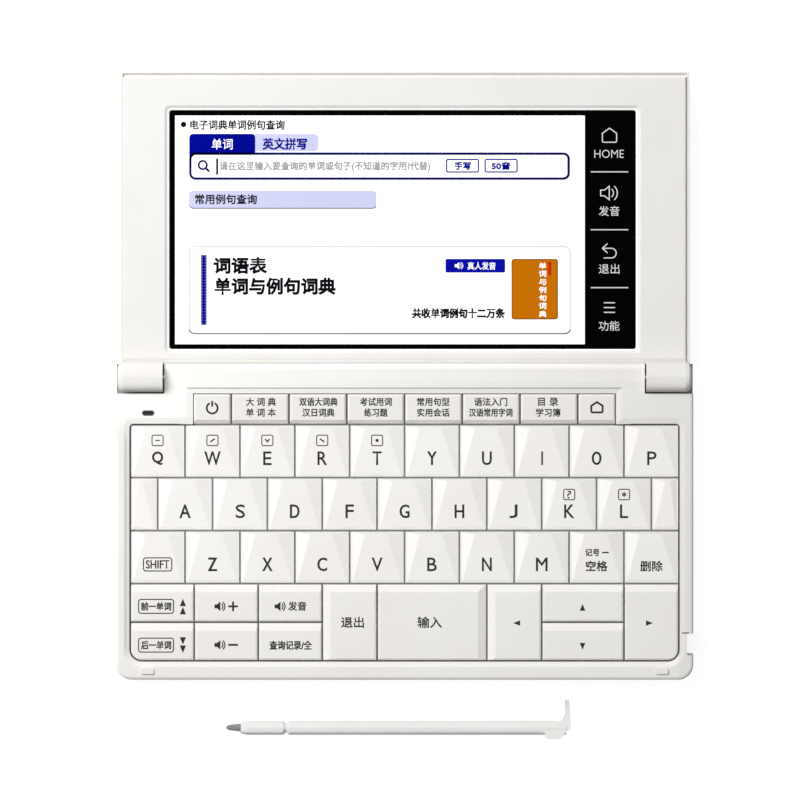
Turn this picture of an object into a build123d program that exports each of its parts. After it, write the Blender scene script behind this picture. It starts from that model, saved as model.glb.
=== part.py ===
from build123d import *
import os

# A clamshell electronic dictionary, opened flat, with its stylus laid in front of it.
#
# The base carries a faceted keyboard in one combined window, the lid carries the touch screen, and two
# barrels on the lid turn on steel pins at the ends of a low ridge along the back of the base.
#
# Frame: X to the right, Y from the user towards the hinge, Z up.  The origin lies on the table, under the
# middle of the base (midway between its front edge and the hinge axis).  The lid is modelled where it is
# when opened by 180 degrees, its face a little below the keyboard deck.

os.makedirs("parts", exist_ok=True)

# ---------------------------------------------------------------- driving dimensions, millimetres
# housing; its width and depth follow from the keyboard
base_height = 9.9  # underside to keyboard deck
base_front_corner_r = 4.0
foot_stand_out = 0.5  # how far the rubber feet lift the underside
wall = 1.6  # side walls of the base
floor_t = 1.2  # underside plate
deck_t = 1.4  # keyboard deck
deck_edge_r = 0.9  # rounding where the deck meets the side walls
underside_edge = 1.0
closing_gap = 0.6  # daylight between the deck and the closed lid

# hinge
barrel_r = 3.9
barrel_length = 11.6
barrel_inset = 0.5  # outer end of a barrel, inside the base's side
barrel_end_chamfer = 1.0
barrel_end_step = 0.45  # second chamfer, which rounds the first one's edges
barrel_gap = 0.4  # between a barrel and the ridge's end, the deck or the floor under it
hinge_pin_r = 0.5
hinge_pin_length = 20.0
hinge_pin_fit = 0.05  # radial running clearance
ridge_back = 3.4  # hinge axis to the back face of the base
ridge_height = 0.3  # ridge above the deck
ridge_back_r = 1.4
ridge_front = 2.9  # where the ridge has run out into the deck, in front of the axis
hinge_block_length = 12.0

# lid
lid_inset = 0.85  # lid's side inside the base's side
lid_overhang = 0.8  # closed lid beyond the base's front edge
lid_thickness = 5.5
lid_face_drop = 2.3  # face of the fully opened lid below the keyboard deck
lid_hinge_gap = 0.35  # lid edge to the base's back face when fully open
lid_wall = 1.6
lid_skin = 1.2
lid_back_edge_r = 2.2
lid_rim_w = 0.85  # strip of the outer cover seen beside the bezel
lid_far_rim_w = 0.55  # and beyond it
lid_far_groove = 0.85  # between that strip and the bezel
lid_rim_drop = 0.6  # cover rim below the bezel's face
bezel_t = 1.2
bezel_slope_w = 1.2  # sloped near edge, beside the ridge
bezel_slope_drop = 0.45
bezel_edge_r = 0.35
bezel_fit = 0.08
glass_left_border = 12.85  # lid edge to the glass opening
glass_right_border = 13.85
glass_near_border = 3.45
glass_far_border = 10.0
glass_t = 1.0
glass_corner_r = 0.7
glass_fit = 0.12
glass_sink = 0.7  # glass below the bezel's face
glass_chamfer_w = 1.2  # sloped border around the glass
display_margin = 0.8  # display module beyond the glass
display_lift = 0.3  # foam gap between the display and the cover

# keyboard window
key_pitch = 14.13  # letter keys, left to right
letter_row_pitch = 13.66
half_row_pitch = 9.93
key_gap = 0.46
letter_rows = 3
half_rows = 2
letter_columns = 10
window_from_hinge = 12.25  # hinge axis to the far edge of the letter keys' window
window_to_side = 3.7
window_to_front = 4.91
window_corner_r = 3.0  # near corners
window_small_r = 0.8  # far corners
window_slope_w = 1.6  # sloped border round the window
window_slope_drop = 0.6
skirt_t = 0.9  # collar under the deck that guides the outer keys
top_row_from_hinge = 4.25
top_row_inset = 16.19  # shorter than the letter rows at each end
end_key_width = 9.85  # power and home
wide_keys = 6  # between them

# keycaps
key_travel = 0.8
cap_skirt_z_drop = 1.1  # outer edge of a cap below the deck
cap_rim_rise = 0.4
cap_rim_w = 0.6
cap_far_rim_w = 0.2
peak_height = 0.2  # ridge line of a faceted cap above the deck
peak_setback = 0.7
peak_from_left = 3.7  # ends of the ridge line from the cap's sides
peak_from_right = 4.25
half_peak_outer = 0.75  # the same on the two fixed half caps
left_half_peak_inner = 3.8
right_half_peak_inner = 3.3
flat_cap_drop = 0.35  # flat caps below the deck
bevel_w = 1.95  # broad bevel of the flat caps
bevel_drop = 0.75
enter_bevel_w = 2.1
top_cap_drop = 0.25
top_cap_bevel_w = 0.95
flat_rim_w = 0.4
flat_rim_drop = 0.35

# under the keys
board_t = 1.0
board_margin = 0.6  # board beyond the window
mat_web_t = 0.4
mat_margin = 0.75
dome_spare_h = 0.2  # height left in a pressed dome
dome_base_r = 2.6
dome_taper = 40.0  # degrees off upright
dome_sides = 8
seat_gap = 0.05  # keycap over its dome, collar over the mat

# small features of the base
slot_length = 2.75  # microphone slot
slot_width = 0.95
slot_from_side = 8.35
slot_from_hinge = 9.3
pad_length = 3.3  # bumpers the closed lid bears on
pad_width = 1.55
pad_height = 0.4
pad_from_side = 8.15
pad_from_front = 2.3
foot_r = 3.5
foot_pocket = 0.4  # how deep the feet sit in the underside
foot_from_side = 16.0
front_foot_from_edge = 5.0
rear_foot_from_hinge = 3.0
screw_head_r = 1.5
screw_head_t = 0.9
screw_r = 0.6
screw_sides = 8  # flats on the part that forms its thread in the boss
screw_length = 6.2
screw_fit = 0.05
screw_boss_r = 1.5
rear_screw_from_side = 14.5
rear_screw_from_hinge = 9.2
front_screw_from_side = 29.0
front_screw_from_edge = 2.65
post_w = 3.0  # square posts that carry the board
post_from_side = 26.0
rear_post_from_hinge = 9.5
middle_post_from_hinge = 33.5
front_post_x = 22.5

# battery and its cover
battery_width = 62.0
battery_depth = 36.0
battery_under_board = 0.6
battery_from_hinge = 18.2  # its centre
battery_fit = 0.4
cover_margin = 2.5  # cover beyond the battery, each side
cover_fit = 0.15
cover_lip_w = 1.8  # rails that run on the inside of the floor, and their lips
cover_lip_t = 0.7
cover_grip_slots = 4
cover_grip_w = 0.8
cover_grip_length = 15.5
cover_grip_depth = 0.35

# speaker and microphone
speaker_r = 8.0
speaker_under_board = 0.75  # its magnet fills this height
magnet_r = 3.6
speaker_from_side = 26.0
speaker_from_front = 15.5
grille_slots = 5
grille_slot_w = 1.0
grille_slot_length = 9.0
grille_pitch = 2.2
mic_r = 2.0
mic_t = 1.6

# charging socket, left side
socket_width = 8.9
socket_height = 3.2
socket_depth = 7.3
socket_shell_t = 0.3
socket_tongue_t = 0.7
socket_tongue_w = 6.7
socket_from_hinge = 22.0
socket_fit = 0.2

# stylus and its silo, right side
stylus_r = 1.85
stylus_length = 89.0
stylus_tip_length = 3.8
stylus_tip_r = 1.05
stylus_tip_end_r = 0.72
stylus_nose_length = 10.9
stylus_nose_r = 1.5
stylus_nose_taper = 1.6
stylus_groove_w = 1.6
stylus_groove_depth = 0.65
stylus_x_end = 42.9  # tail end where it lies on the table
stylus_from_front = 12.6  # axis in front of the base
hook_rise = 7.0  # fin tip above the stylus axis
hook_drop = 2.9  # hook's foot below the axis
hook_fin_t = 1.1
hook_fin_taper = 0.4
hook_sweep_in = 1.5  # the sweep's middle point, beside the fin
hook_sweep_up = 1.4
hook_length = 6.6
hook_foot_length = 3.3
hook_width = 3.5
silo_fit = 0.12
silo_wall = 0.9
silo_clear = 0.1  # under the board
silo_from_front = 9.3
notch_width = 5.2
notch_depth = 1.75

# ---------------------------------------------------------------- derived places
base_width = letter_columns * key_pitch + 2 * window_to_side
keyboard_depth = letter_rows * letter_row_pitch + half_rows * half_row_pitch
base_depth = window_from_hinge + keyboard_depth + window_to_front
lid_width = base_width - 2 * lid_inset
lid_reach = base_depth + lid_overhang
underside_z = foot_stand_out
deck_z = underside_z + base_height
hinge_y = base_depth / 2
front_y = -base_depth / 2
back_y = hinge_y + ridge_back
hinge_z = deck_z + (closing_gap - lid_face_drop) / 2
seam_z = hinge_z - barrel_r - barrel_gap
floor_z = underside_z + floor_t
deck_under_z = deck_z - deck_t
side_x = base_width / 2
inner_x = side_x - wall
inner_front_y = front_y + wall
inner_back_y = back_y - wall
barrel_outer_x = side_x - barrel_inset
barrel_inner_x = barrel_outer_x - barrel_length
ridge_half = barrel_inner_x - barrel_gap
corner_front_y = hinge_y - barrel_r - barrel_gap
corner_wall = 1.2

lid_near_y = back_y + lid_hinge_gap
lid_far_y = hinge_y + lid_reach
lid_face_z = deck_z - lid_face_drop
lid_back_z = lid_face_z - lid_thickness
bezel_under_z = lid_face_z - bezel_t
glass_width = lid_width - glass_left_border - glass_right_border
glass_depth = lid_far_y - lid_near_y - glass_near_border - glass_far_border
glass_mid_x = (glass_left_border - glass_right_border) / 2
glass_mid_y = lid_near_y + glass_near_border + glass_depth / 2

window_width = letter_columns * key_pitch
window_far_y = hinge_y - window_from_hinge
window_near_y = window_far_y - keyboard_depth
top_row_far_y = hinge_y - top_row_from_hinge
top_row_width = window_width - 2 * top_row_inset
wide_key_width = (top_row_width - 2 * end_key_width) / wide_keys
window_left = -window_width / 2
window_right = window_width / 2

board_under_z = seam_z
board_top_z = board_under_z + board_t
web_top_z = board_top_z + mat_web_t
dome_h = key_travel + dome_spare_h
dome_top_z = web_top_z + dome_h
cap_bottom_z = dome_top_z + seat_gap
cap_skirt_z = deck_z - cap_skirt_z_drop
cap_edge_z = cap_skirt_z + cap_rim_rise
peak_z = deck_z + peak_height
flat_top_z = deck_z - flat_cap_drop
top_cap_z = deck_z - top_cap_drop

silo_y = front_y + silo_from_front
silo_z = underside_z + hook_drop
silo_r = stylus_r + silo_fit
notch_wall_x = side_x - notch_depth
silo_depth = stylus_length - hook_length + stylus_groove_w
silo_block_half = silo_r + silo_wall
silo_roof_z = board_under_z - silo_clear
battery_y = hinge_y - battery_from_hinge
battery_t = board_under_z - floor_z - cover_fit - battery_under_board
cover_half = battery_width / 2 + cover_margin
cover_near_y = battery_y - battery_depth / 2 - cover_margin
speaker_t = board_under_z - floor_z - speaker_under_board
speaker_x = -side_x + speaker_from_side
speaker_y = front_y + speaker_from_front
slot_x = -side_x + slot_from_side
slot_y = hinge_y - slot_from_hinge
pad_x = side_x - pad_from_side
foot_x = side_x - foot_from_side
post_x = side_x - post_from_side
foot_places = [
    (sign * foot_x, y)
    for sign in (-1, 1)
    for y in (front_y + front_foot_from_edge, hinge_y - rear_foot_from_hinge)
]
screw_places = [
    (sign * (side_x - from_side), y)
    for sign in (-1, 1)
    for from_side, y in (
        (rear_screw_from_side, hinge_y - rear_screw_from_hinge),
        (front_screw_from_side, front_y + front_screw_from_edge),
    )
]
screw_head_z = underside_z + seat_gap
screw_tip_z = screw_head_z + screw_head_t + screw_length
post_places = [
    (sign * post_x, hinge_y - distance)
    for sign in (-1, 1)
    for distance in (rear_post_from_hinge, middle_post_from_hinge)
]
post_places.append((-front_post_x, silo_y))
post_places.append((front_post_x, silo_y + silo_block_half + wall + post_w))
socket_y = hinge_y - socket_from_hinge


def save(piece, name):
    """Label a finished piece and write it under its own name."""
    piece.label = name
    export_step(piece, f"parts/{name}.step")


def rect(left, right, near, far):
    """A rectangle between four lines, added to the sketch that is being drawn."""
    with Locations(((left + right) / 2, (near + far) / 2)):
        return Rectangle(right - left, far - near)


def band(sign, inner, outer, near, far):
    """A rectangle between two distances from the middle plane, on the side that `sign` names."""
    rect(min(sign * inner, sign * outer), max(sign * inner, sign * outer), near, far)


def window_outline(grow=0.0):
    """The keyboard window: letter block with the narrower top row behind it, grown all round."""
    rect(window_left - grow, window_right + grow, window_near_y - grow, window_far_y + grow)
    half = top_row_width / 2 + grow
    rect(-half, half, window_far_y - grow, top_row_far_y + grow)


def round_window(sketch, near_r, small_r):
    """Round the window's near corners broadly and the outer corners of its far side slightly."""
    corners = sketch.vertices().group_by(Axis.Y)
    fillet(corners[0], near_r)
    outer = sketch.vertices().filter_by(lambda v: abs(v.X) > window_right - 2 * small_r)
    fillet(outer.filter_by(lambda v: v.Y > window_far_y - 2 * small_r), small_r)


def knife(a, b, c):
    """The plane through three points of a facet, facing up and out of the cap."""
    along = Vector(*b) - Vector(*a)
    normal = along.cross(Vector(*c) - Vector(*a))
    if normal.Z < 0:
        normal = -normal
    return Plane(origin=a, x_dir=along, z_dir=normal)


def sloped_side(left, right, near, far, side, low_z, high_z, run):
    """The plane that falls from high_z to low_z over the last `run` of a cap, at one of its sides."""
    if side == "near":
        return knife((left, near, low_z), (right, near, low_z), (left, near + run, high_z))
    if side == "far":
        return knife((left, far, low_z), (right, far, low_z), (left, far - run, high_z))
    if side == "left":
        return knife((left, near, low_z), (left, far, low_z), (left + run, near, high_z))
    return knife((right, near, low_z), (right, far, low_z), (right - run, near, high_z))


def faceted_cap(left, right, near, far, from_left=peak_from_left, from_right=peak_from_right):
    """A letter keycap: a block cut by knives into a thin rim and facets that climb to a ridge line."""
    peak_y = far - peak_setback
    peak_left = (left + from_left, peak_y, peak_z)
    peak_right = (right - from_right, peak_y, peak_z)
    edge_left = left + cap_rim_w
    edge_right = right - cap_rim_w
    edge_near = near + cap_rim_w
    edge_far = far - cap_far_rim_w
    cuts = [
        sloped_side(left, right, near, far, "near", cap_skirt_z, cap_edge_z, cap_rim_w),
        sloped_side(left, right, near, far, "left", cap_skirt_z, cap_edge_z, cap_rim_w),
        sloped_side(left, right, near, far, "right", cap_skirt_z, cap_edge_z, cap_rim_w),
        sloped_side(left, right, near, far, "far", cap_skirt_z, cap_edge_z, cap_far_rim_w),
        knife((edge_left, edge_near, cap_edge_z), (edge_right, edge_near, cap_edge_z), peak_left),
        knife((edge_left, edge_far, cap_edge_z), (edge_right, edge_far, cap_edge_z), peak_left),
        knife((edge_left, edge_near, cap_edge_z), (edge_left, edge_far, cap_edge_z), peak_left),
        knife((edge_right, edge_near, cap_edge_z), (edge_right, edge_far, cap_edge_z), peak_right),
    ]
    with BuildPart() as cap:
        with BuildSketch(Plane.XY.offset(cap_bottom_z)):
            rect(left, right, near, far)
        extrude(amount=peak_z - cap_bottom_z)
        for cut in cuts:
            split(bisect_by=cut, keep=Keep.BOTTOM)
    return cap.part


def flat_cap(left, right, near, far, top_z, broad, rounded=None):
    """A flat-topped cap with narrow rims and, on the sides named in `broad`, wide bevels."""
    with BuildPart() as cap:
        with BuildSketch(Plane.XY.offset(cap_bottom_z)) as outline:
            rect(left, right, near, far)
            if rounded:
                corner = outline.vertices().group_by(Axis.Y)[0].sort_by(Axis.X)
                fillet(corner[0 if rounded == "left" else -1], window_corner_r - key_gap / 2)
        extrude(amount=top_z - cap_bottom_z)
        for side in ("near", "left", "right", "far"):
            run = broad.get(side, flat_rim_w)
            drop = bevel_drop if side in broad else flat_rim_drop
            split(
                bisect_by=sloped_side(left, right, near, far, side, top_z - drop, top_z, run),
                keep=Keep.BOTTOM,
            )
    return cap.part


# ---------------------------------------------------------------- keycaps
half_gap = key_gap / 2
row_far_edges = [window_far_y - row * letter_row_pitch for row in range(letter_rows)]
middle_row_far = row_far_edges[1]
middle_row_near = middle_row_far - letter_row_pitch
# ends of the ridge line on the fixed half caps at the left (-1) and right (1) of the middle row
half_cap_peaks = {
    -1: (half_peak_outer, left_half_peak_inner),
    1: (right_half_peak_inner, half_peak_outer),
}
letter_names = [
    ["q", "w", "e", "r", "t", "y", "u", "i", "o", "p"],
    ["a", "s", "d", "f", "g", "h", "j", "k", "l"],
    ["shift", "z", "x", "c", "v", "b", "n", "m", "space", "delete"],
]
block_far_y = window_far_y - letter_rows * letter_row_pitch
wide_bevel = {"far": bevel_w}
left_bevel = {"far": bevel_w, "left": bevel_w}
enter_bevel = {"far": bevel_w, "right": enter_bevel_w}
# name, left and right edge in sixths of a key's pitch, upper and lower edge in half rows, broad bevels
block_unit = key_pitch / 6
block_keys = [
    ("previous", 0, 7, 0, 1, wide_bevel),
    ("next", 0, 7, 1, 2, wide_bevel),
    ("volume_up", 7, 14, 0, 1, wide_bevel),
    ("volume_down", 7, 14, 1, 2, wide_bevel),
    ("voice", 14, 21, 0, 1, wide_bevel),
    ("history", 14, 21, 1, 2, wide_bevel),
    ("back", 21, 27, 0, 2, left_bevel),
    ("enter", 27, 39, 0, 2, enter_bevel),
    ("left", 39, 45, 0, 2, left_bevel),
    ("up", 45, 54, 0, 1, wide_bevel),
    ("down", 45, 54, 1, 2, wide_bevel),
    ("right", 54, 60, 0, 2, wide_bevel),
]


def letter_box(row, place):
    """Left, right, near and far edges of a letter keycap."""
    start = window_left + (place + (row == 1) / 2) * key_pitch
    far = row_far_edges[row]
    return start + half_gap, start + key_pitch - half_gap, far - letter_row_pitch + half_gap, far - half_gap


def block_box(first, last, upper, lower):
    """Edges of a cap in the bottom block."""
    far = block_far_y - upper * half_row_pitch
    near = block_far_y - lower * half_row_pitch
    left = window_left + first * block_unit
    right = window_left + last * block_unit
    return left + half_gap, right - half_gap, near + half_gap, far - half_gap


def top_box(left, width):
    """Edges of a cap in the top row, which starts at `left`."""
    return left + half_gap, left + width - half_gap, window_far_y + half_gap, top_row_far_y - half_gap


letter_boxes = {
    name: letter_box(row, place)
    for row, names in enumerate(letter_names)
    for place, name in enumerate(names)
}
block_boxes = {key[0]: block_box(*key[1:5]) for key in block_keys}
power_box = top_box(-top_row_width / 2, end_key_width)
home_box = top_box(top_row_width / 2 - end_key_width, end_key_width)
wide_boxes = [
    top_box(-top_row_width / 2 + end_key_width + number * wide_key_width, wide_key_width)
    for number in range(wide_keys)
]


# ---------------------------------------------------------------- base, upper half
with BuildPart() as base_top_frame:
    # outer block with rounded front corners
    with BuildSketch(Plane.XY.offset(seam_z)) as outline:
        rect(-side_x, side_x, front_y, back_y)
        fillet(outline.vertices().group_by(Axis.Y)[0], base_front_corner_r)
    extrude(amount=deck_z - seam_z)
    top_edges = base_top_frame.faces().sort_by(Axis.Z)[-1].edges()
    fillet(top_edges.filter_by(lambda e: e.center().Y < hinge_y), deck_edge_r)
    # rear corners make room for the lid's barrels
    with BuildSketch(Plane.XY.offset(seam_z)):
        for sign in (-1, 1):
            band(sign, ridge_half, side_x + wall, corner_front_y, back_y + wall)
    extrude(amount=base_height, mode=Mode.SUBTRACT)
    # inside
    with BuildSketch(Plane.XY.offset(seam_z)):
        rect(-inner_x, inner_x, inner_front_y, corner_front_y - corner_wall)
        half = ridge_half - hinge_block_length
        rect(-half, half, corner_front_y - 2 * corner_wall, inner_back_y)
        half = ridge_half - corner_wall
        rect(-half, half, corner_front_y - 2 * corner_wall, hinge_y - ridge_front)
    extrude(amount=deck_under_z - seam_z, mode=Mode.SUBTRACT)
    # low ridge between the barrels in place of the deck: round at the back, falling to the deck's level
    with BuildSketch(Plane.XY.offset(deck_under_z)):
        rect(-ridge_half, ridge_half, hinge_y - ridge_front, back_y + wall)
    extrude(amount=deck_t, mode=Mode.SUBTRACT)
    with BuildSketch(Plane.YZ.offset(-ridge_half)):
        with BuildLine():
            back_low = (back_y, deck_under_z)
            back_high = (back_y, deck_z + ridge_height - ridge_back_r)
            crest = (back_y - ridge_back_r, deck_z + ridge_height)
            run_out = (hinge_y - ridge_front, deck_z)
            foot = (hinge_y - ridge_front, deck_under_z)
            Line(back_low, back_high)
            RadiusArc(back_high, crest, -ridge_back_r)
            Line(crest, run_out)
            Line(run_out, foot)
            Line(foot, back_low)
        make_face()
    extrude(amount=2 * ridge_half)
    with BuildSketch(Plane.XY.offset(seam_z)):
        half = ridge_half - hinge_block_length
        rect(-half, half, hinge_y - hinge_pin_r, inner_back_y)
    extrude(amount=deck_under_z - seam_z, mode=Mode.SUBTRACT)
    # keyboard window with its sloped border and guiding collar
    with BuildSketch(Plane.XY.offset(web_top_z + seat_gap)) as collar:
        window_outline(skirt_t)
        round_window(collar, window_corner_r + skirt_t, window_small_r)
    extrude(amount=deck_under_z - web_top_z - seat_gap)
    with BuildSketch(Plane.XY.offset(deck_z)) as slope_top:
        window_outline(window_slope_w)
        round_window(slope_top, window_corner_r + window_slope_w, window_small_r + window_slope_w)
    with BuildSketch(Plane.XY.offset(deck_z - window_slope_drop)) as slope_foot:
        window_outline()
        round_window(slope_foot, window_corner_r, window_small_r)
    loft(ruled=True, mode=Mode.SUBTRACT)
    with BuildSketch(Plane.XY.offset(seam_z)) as opening:
        window_outline()
        round_window(opening, window_corner_r, window_small_r)
    extrude(amount=base_height, mode=Mode.SUBTRACT)
    # a fixed half keycap closes each end of the middle letter row, on a web from the collar
    for sign in (-1, 1):
        outer = sign * (window_right - half_gap)
        inner = sign * (window_right - key_pitch / 2 + half_gap)
        left = min(outer, inner)
        right = max(outer, inner)
        near = middle_row_near + half_gap
        far = middle_row_far - half_gap
        add(faceted_cap(left, right, near, far, *half_cap_peaks[sign]))
        with BuildSketch(Plane.XY.offset(web_top_z + seat_gap)):
            band(sign, window_right - key_pitch / 2 + half_gap, window_right + skirt_t, near, far)
        extrude(amount=cap_bottom_z - web_top_z - seat_gap)
    # microphone slot in the deck, and a seat for the microphone under it
    with BuildSketch(Plane.XY.offset(seam_z)):
        with Locations((slot_x, slot_y)):
            SlotOverall(slot_length, slot_width)
    extrude(amount=base_height, mode=Mode.SUBTRACT)
    # bumpers for the closed lid
    with BuildSketch(Plane.XY.offset(deck_z)):
        with Locations((-pad_x, front_y + pad_from_front), (pad_x, front_y + pad_from_front)):
            RectangleRounded(pad_length, pad_width, pad_width / 4)
    extrude(amount=pad_height)
    # screw bosses, and the thick wall between the window and the stylus notch
    with BuildSketch(Plane.XY.offset(seam_z)):
        with Locations(*screw_places):
            Rectangle(2 * screw_boss_r, 2 * screw_boss_r)
    extrude(amount=deck_under_z - seam_z)
    with BuildSketch(Plane.XY.offset(web_top_z + seat_gap)):
        half = silo_block_half + wall
        rect(window_right + skirt_t / 2, inner_x, silo_y - half, silo_y + half)
    extrude(amount=deck_under_z - web_top_z - seat_gap)
    with BuildSketch(Plane.XY.offset(seam_z)):
        with Locations(*screw_places):
            RegularPolygon(screw_r + screw_fit, screw_sides)
    extrude(amount=screw_tip_z + seat_gap - seam_z, mode=Mode.SUBTRACT)
    # stylus notch down the right side
    with BuildSketch(Plane.XY.offset(seam_z)):
        rect(notch_wall_x, side_x + wall, silo_y - notch_width / 2, silo_y + notch_width / 2)
    extrude(amount=base_height, mode=Mode.SUBTRACT)
    # blind bores for the hinge pins
    for sign in (-1, 1):
        with BuildSketch(Plane.YZ.offset(sign * ridge_half)):
            with Locations((hinge_y, hinge_z)):
                Circle(hinge_pin_r + hinge_pin_fit)
        extrude(amount=-sign * (hinge_pin_length / 2 + seat_gap), mode=Mode.SUBTRACT)
save(base_top_frame.part, "base_top_frame")

# ---------------------------------------------------------------- base, lower half
with BuildPart() as base_lower_shell:
    with BuildSketch(Plane.XY.offset(underside_z)) as outline:
        rect(-side_x, side_x, front_y, back_y)
        fillet(outline.vertices().group_by(Axis.Y)[0], base_front_corner_r)
    extrude(amount=seam_z - underside_z)
    chamfer(base_lower_shell.faces().sort_by(Axis.Z)[0].edges(), underside_edge)
    # inside, with solid corners under the barrels
    with BuildSketch(Plane.XY.offset(floor_z)):
        rect(-inner_x, inner_x, inner_front_y, corner_front_y - corner_wall)
        half = ridge_half - corner_wall
        rect(-half, half, corner_front_y - 2 * corner_wall, inner_back_y)
    extrude(amount=seam_z - floor_z, mode=Mode.SUBTRACT)
    # posts for the board, bosses for the screws
    with BuildSketch(Plane.XY.offset(floor_z)):
        with Locations(*post_places):
            Rectangle(post_w, post_w)
    extrude(amount=board_under_z - floor_z)
    with BuildSketch(Plane.XY.offset(floor_z)):
        with Locations(*screw_places):
            Rectangle(2 * screw_head_r + wall, 2 * screw_head_r + wall)
    extrude(amount=seam_z - floor_z)
    # channel of the stylus silo
    with BuildSketch(Plane.XY.offset(floor_z)):
        half = silo_block_half
        rect(notch_wall_x - silo_depth - wall, notch_wall_x, silo_y - half, silo_y + half)
        half = notch_width / 2 + wall
        rect(side_x - hook_length - wall, inner_x, silo_y - half, silo_y + half)
    extrude(amount=silo_roof_z - floor_z)
    with BuildSketch(Plane.XY.offset(underside_z)):
        rect(notch_wall_x, side_x + wall, silo_y - notch_width / 2, silo_y + notch_width / 2)
    extrude(amount=seam_z - underside_z, mode=Mode.SUBTRACT)
    with BuildSketch(Plane.XY.offset(underside_z)):
        half = hook_width / 2 + cover_fit
        rect(side_x - hook_length - cover_fit, side_x, silo_y - half, silo_y + half)
    extrude(amount=hook_drop, mode=Mode.SUBTRACT)
    with BuildSketch(Plane.YZ.offset(notch_wall_x)):
        with Locations((silo_y, silo_z)):
            Circle(silo_r)
    extrude(amount=-silo_depth, mode=Mode.SUBTRACT)
    # battery bay: a floor opening and rail slots that run out at the back, and a wall before the pack
    with BuildSketch(Plane.XY.offset(underside_z)):
        rect(-cover_half - cover_fit, cover_half + cover_fit, cover_near_y - cover_fit, back_y)
    extrude(amount=floor_t, mode=Mode.SUBTRACT)
    with BuildSketch(Plane.XY.offset(floor_z)):
        half = cover_half + cover_lip_w + cover_fit
        rect(-half, half, inner_back_y - wall, back_y)
    extrude(amount=cover_lip_t + cover_fit, mode=Mode.SUBTRACT)
    with BuildSketch(Plane.XY.offset(floor_z)):
        half = cover_half + cover_lip_w + wall
        rect(-half, half, cover_near_y - cover_fit - wall, cover_near_y - cover_fit)
    extrude(amount=board_under_z - floor_z - battery_fit)
    # counterbored screw holes
    with Locations(*[(x, y, underside_z) for x, y in screw_places]):
        with Locations(Location((0, 0, 0), (180, 0, 0))):
            CounterBoreHole(
                radius=screw_r + screw_fit,
                counter_bore_radius=screw_head_r + screw_fit,
                counter_bore_depth=screw_head_t + screw_fit,
                depth=base_height,
            )
    # speaker seat and grille
    with BuildSketch(Plane.XY.offset(floor_z)):
        with Locations((speaker_x, speaker_y)):
            Rectangle(2 * speaker_r + wall, 2 * speaker_r + wall)
            Rectangle(2 * (speaker_r + cover_fit), 2 * (speaker_r + cover_fit), mode=Mode.SUBTRACT)
    extrude(amount=speaker_t)
    with BuildSketch(Plane.XY.offset(underside_z)):
        with Locations((speaker_x, speaker_y)):
            with GridLocations(grille_pitch, 0, grille_slots, 1):
                Rectangle(grille_slot_w, grille_slot_length)
    extrude(amount=floor_t, mode=Mode.SUBTRACT)
    # pockets for the feet
    with BuildSketch(Plane.XY.offset(underside_z)):
        with Locations(*foot_places):
            Circle(foot_r)
    extrude(amount=foot_pocket, mode=Mode.SUBTRACT)
    # charging socket in the left side
    socket_z = board_under_z - socket_height / 2
    with BuildSketch(Plane.YZ.offset(-side_x)):
        with Locations((socket_y, socket_z)):
            SlotOverall(socket_width + 2 * socket_fit, socket_height + 2 * socket_fit)
    extrude(amount=2 * wall, mode=Mode.SUBTRACT)
save(base_lower_shell.part, "base_lower_shell")

# ---------------------------------------------------------------- battery cover: slides off at the back
with BuildPart() as battery_cover:
    with BuildSketch(Plane.XY.offset(underside_z)):
        rect(-cover_half, cover_half, cover_near_y, back_y)
    extrude(amount=floor_t)
    back_edge = battery_cover.edges().filter_by(Axis.X).group_by(Axis.Y)[-1].sort_by(Axis.Z)[0]
    chamfer(back_edge, underside_edge)
    # a rib across the back and a rail along each side, with lips that reach over the floor
    with BuildSketch(Plane.XY.offset(floor_z)):
        rect(-cover_half, cover_half, inner_back_y - cover_lip_w, back_y - wall / 2)
        for sign in (-1, 1):
            band(sign, cover_half - cover_lip_w, cover_half, cover_near_y, back_y - wall / 2)
    extrude(amount=cover_lip_t)
    with BuildSketch(Plane.XY.offset(floor_z + cover_fit / 2)):
        for sign in (-1, 1):
            band(sign, cover_half - cover_lip_w, cover_half + cover_lip_w, cover_near_y, back_y - wall / 2)
    extrude(amount=cover_lip_t - cover_fit / 2)
    # finger grip pressed into the outside
    with BuildSketch(Plane.XY.offset(underside_z)):
        with Locations((0, back_y - 3 * wall)):
            with GridLocations(0, 2 * cover_grip_w, 1, cover_grip_slots):
                Rectangle(cover_grip_length, cover_grip_w)
    extrude(amount=cover_grip_depth, mode=Mode.SUBTRACT)
save(battery_cover.part, "battery_cover")

with BuildPart() as battery_pack:
    with BuildSketch(Plane.XY.offset(floor_z + cover_fit)):
        with Locations((0, battery_y)):
            Rectangle(battery_width, battery_depth)
    extrude(amount=battery_t)
save(battery_pack.part, "battery_pack")

# ---------------------------------------------------------------- board with its chips and charging socket
with BuildPart() as main_board:
    with BuildSketch(Plane.XY.offset(board_under_z)):
        window_outline(board_margin)
    extrude(amount=board_t)
    with BuildSketch(Plane.YZ.offset(-side_x + wall)):
        with Locations((socket_y, socket_z)):
            SlotOverall(socket_width, socket_height)
            SlotOverall(
                socket_width - 2 * socket_shell_t,
                socket_height - 2 * socket_shell_t,
                mode=Mode.SUBTRACT,
            )
            Rectangle(socket_tongue_w, socket_tongue_t)
    extrude(amount=socket_depth)
    with BuildSketch(Plane.YZ.offset(-side_x + wall + socket_depth)):
        with Locations((socket_y, socket_z)):
            SlotOverall(socket_width, socket_height)
    extrude(amount=socket_shell_t)
save(main_board.part, "main_board")

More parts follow.
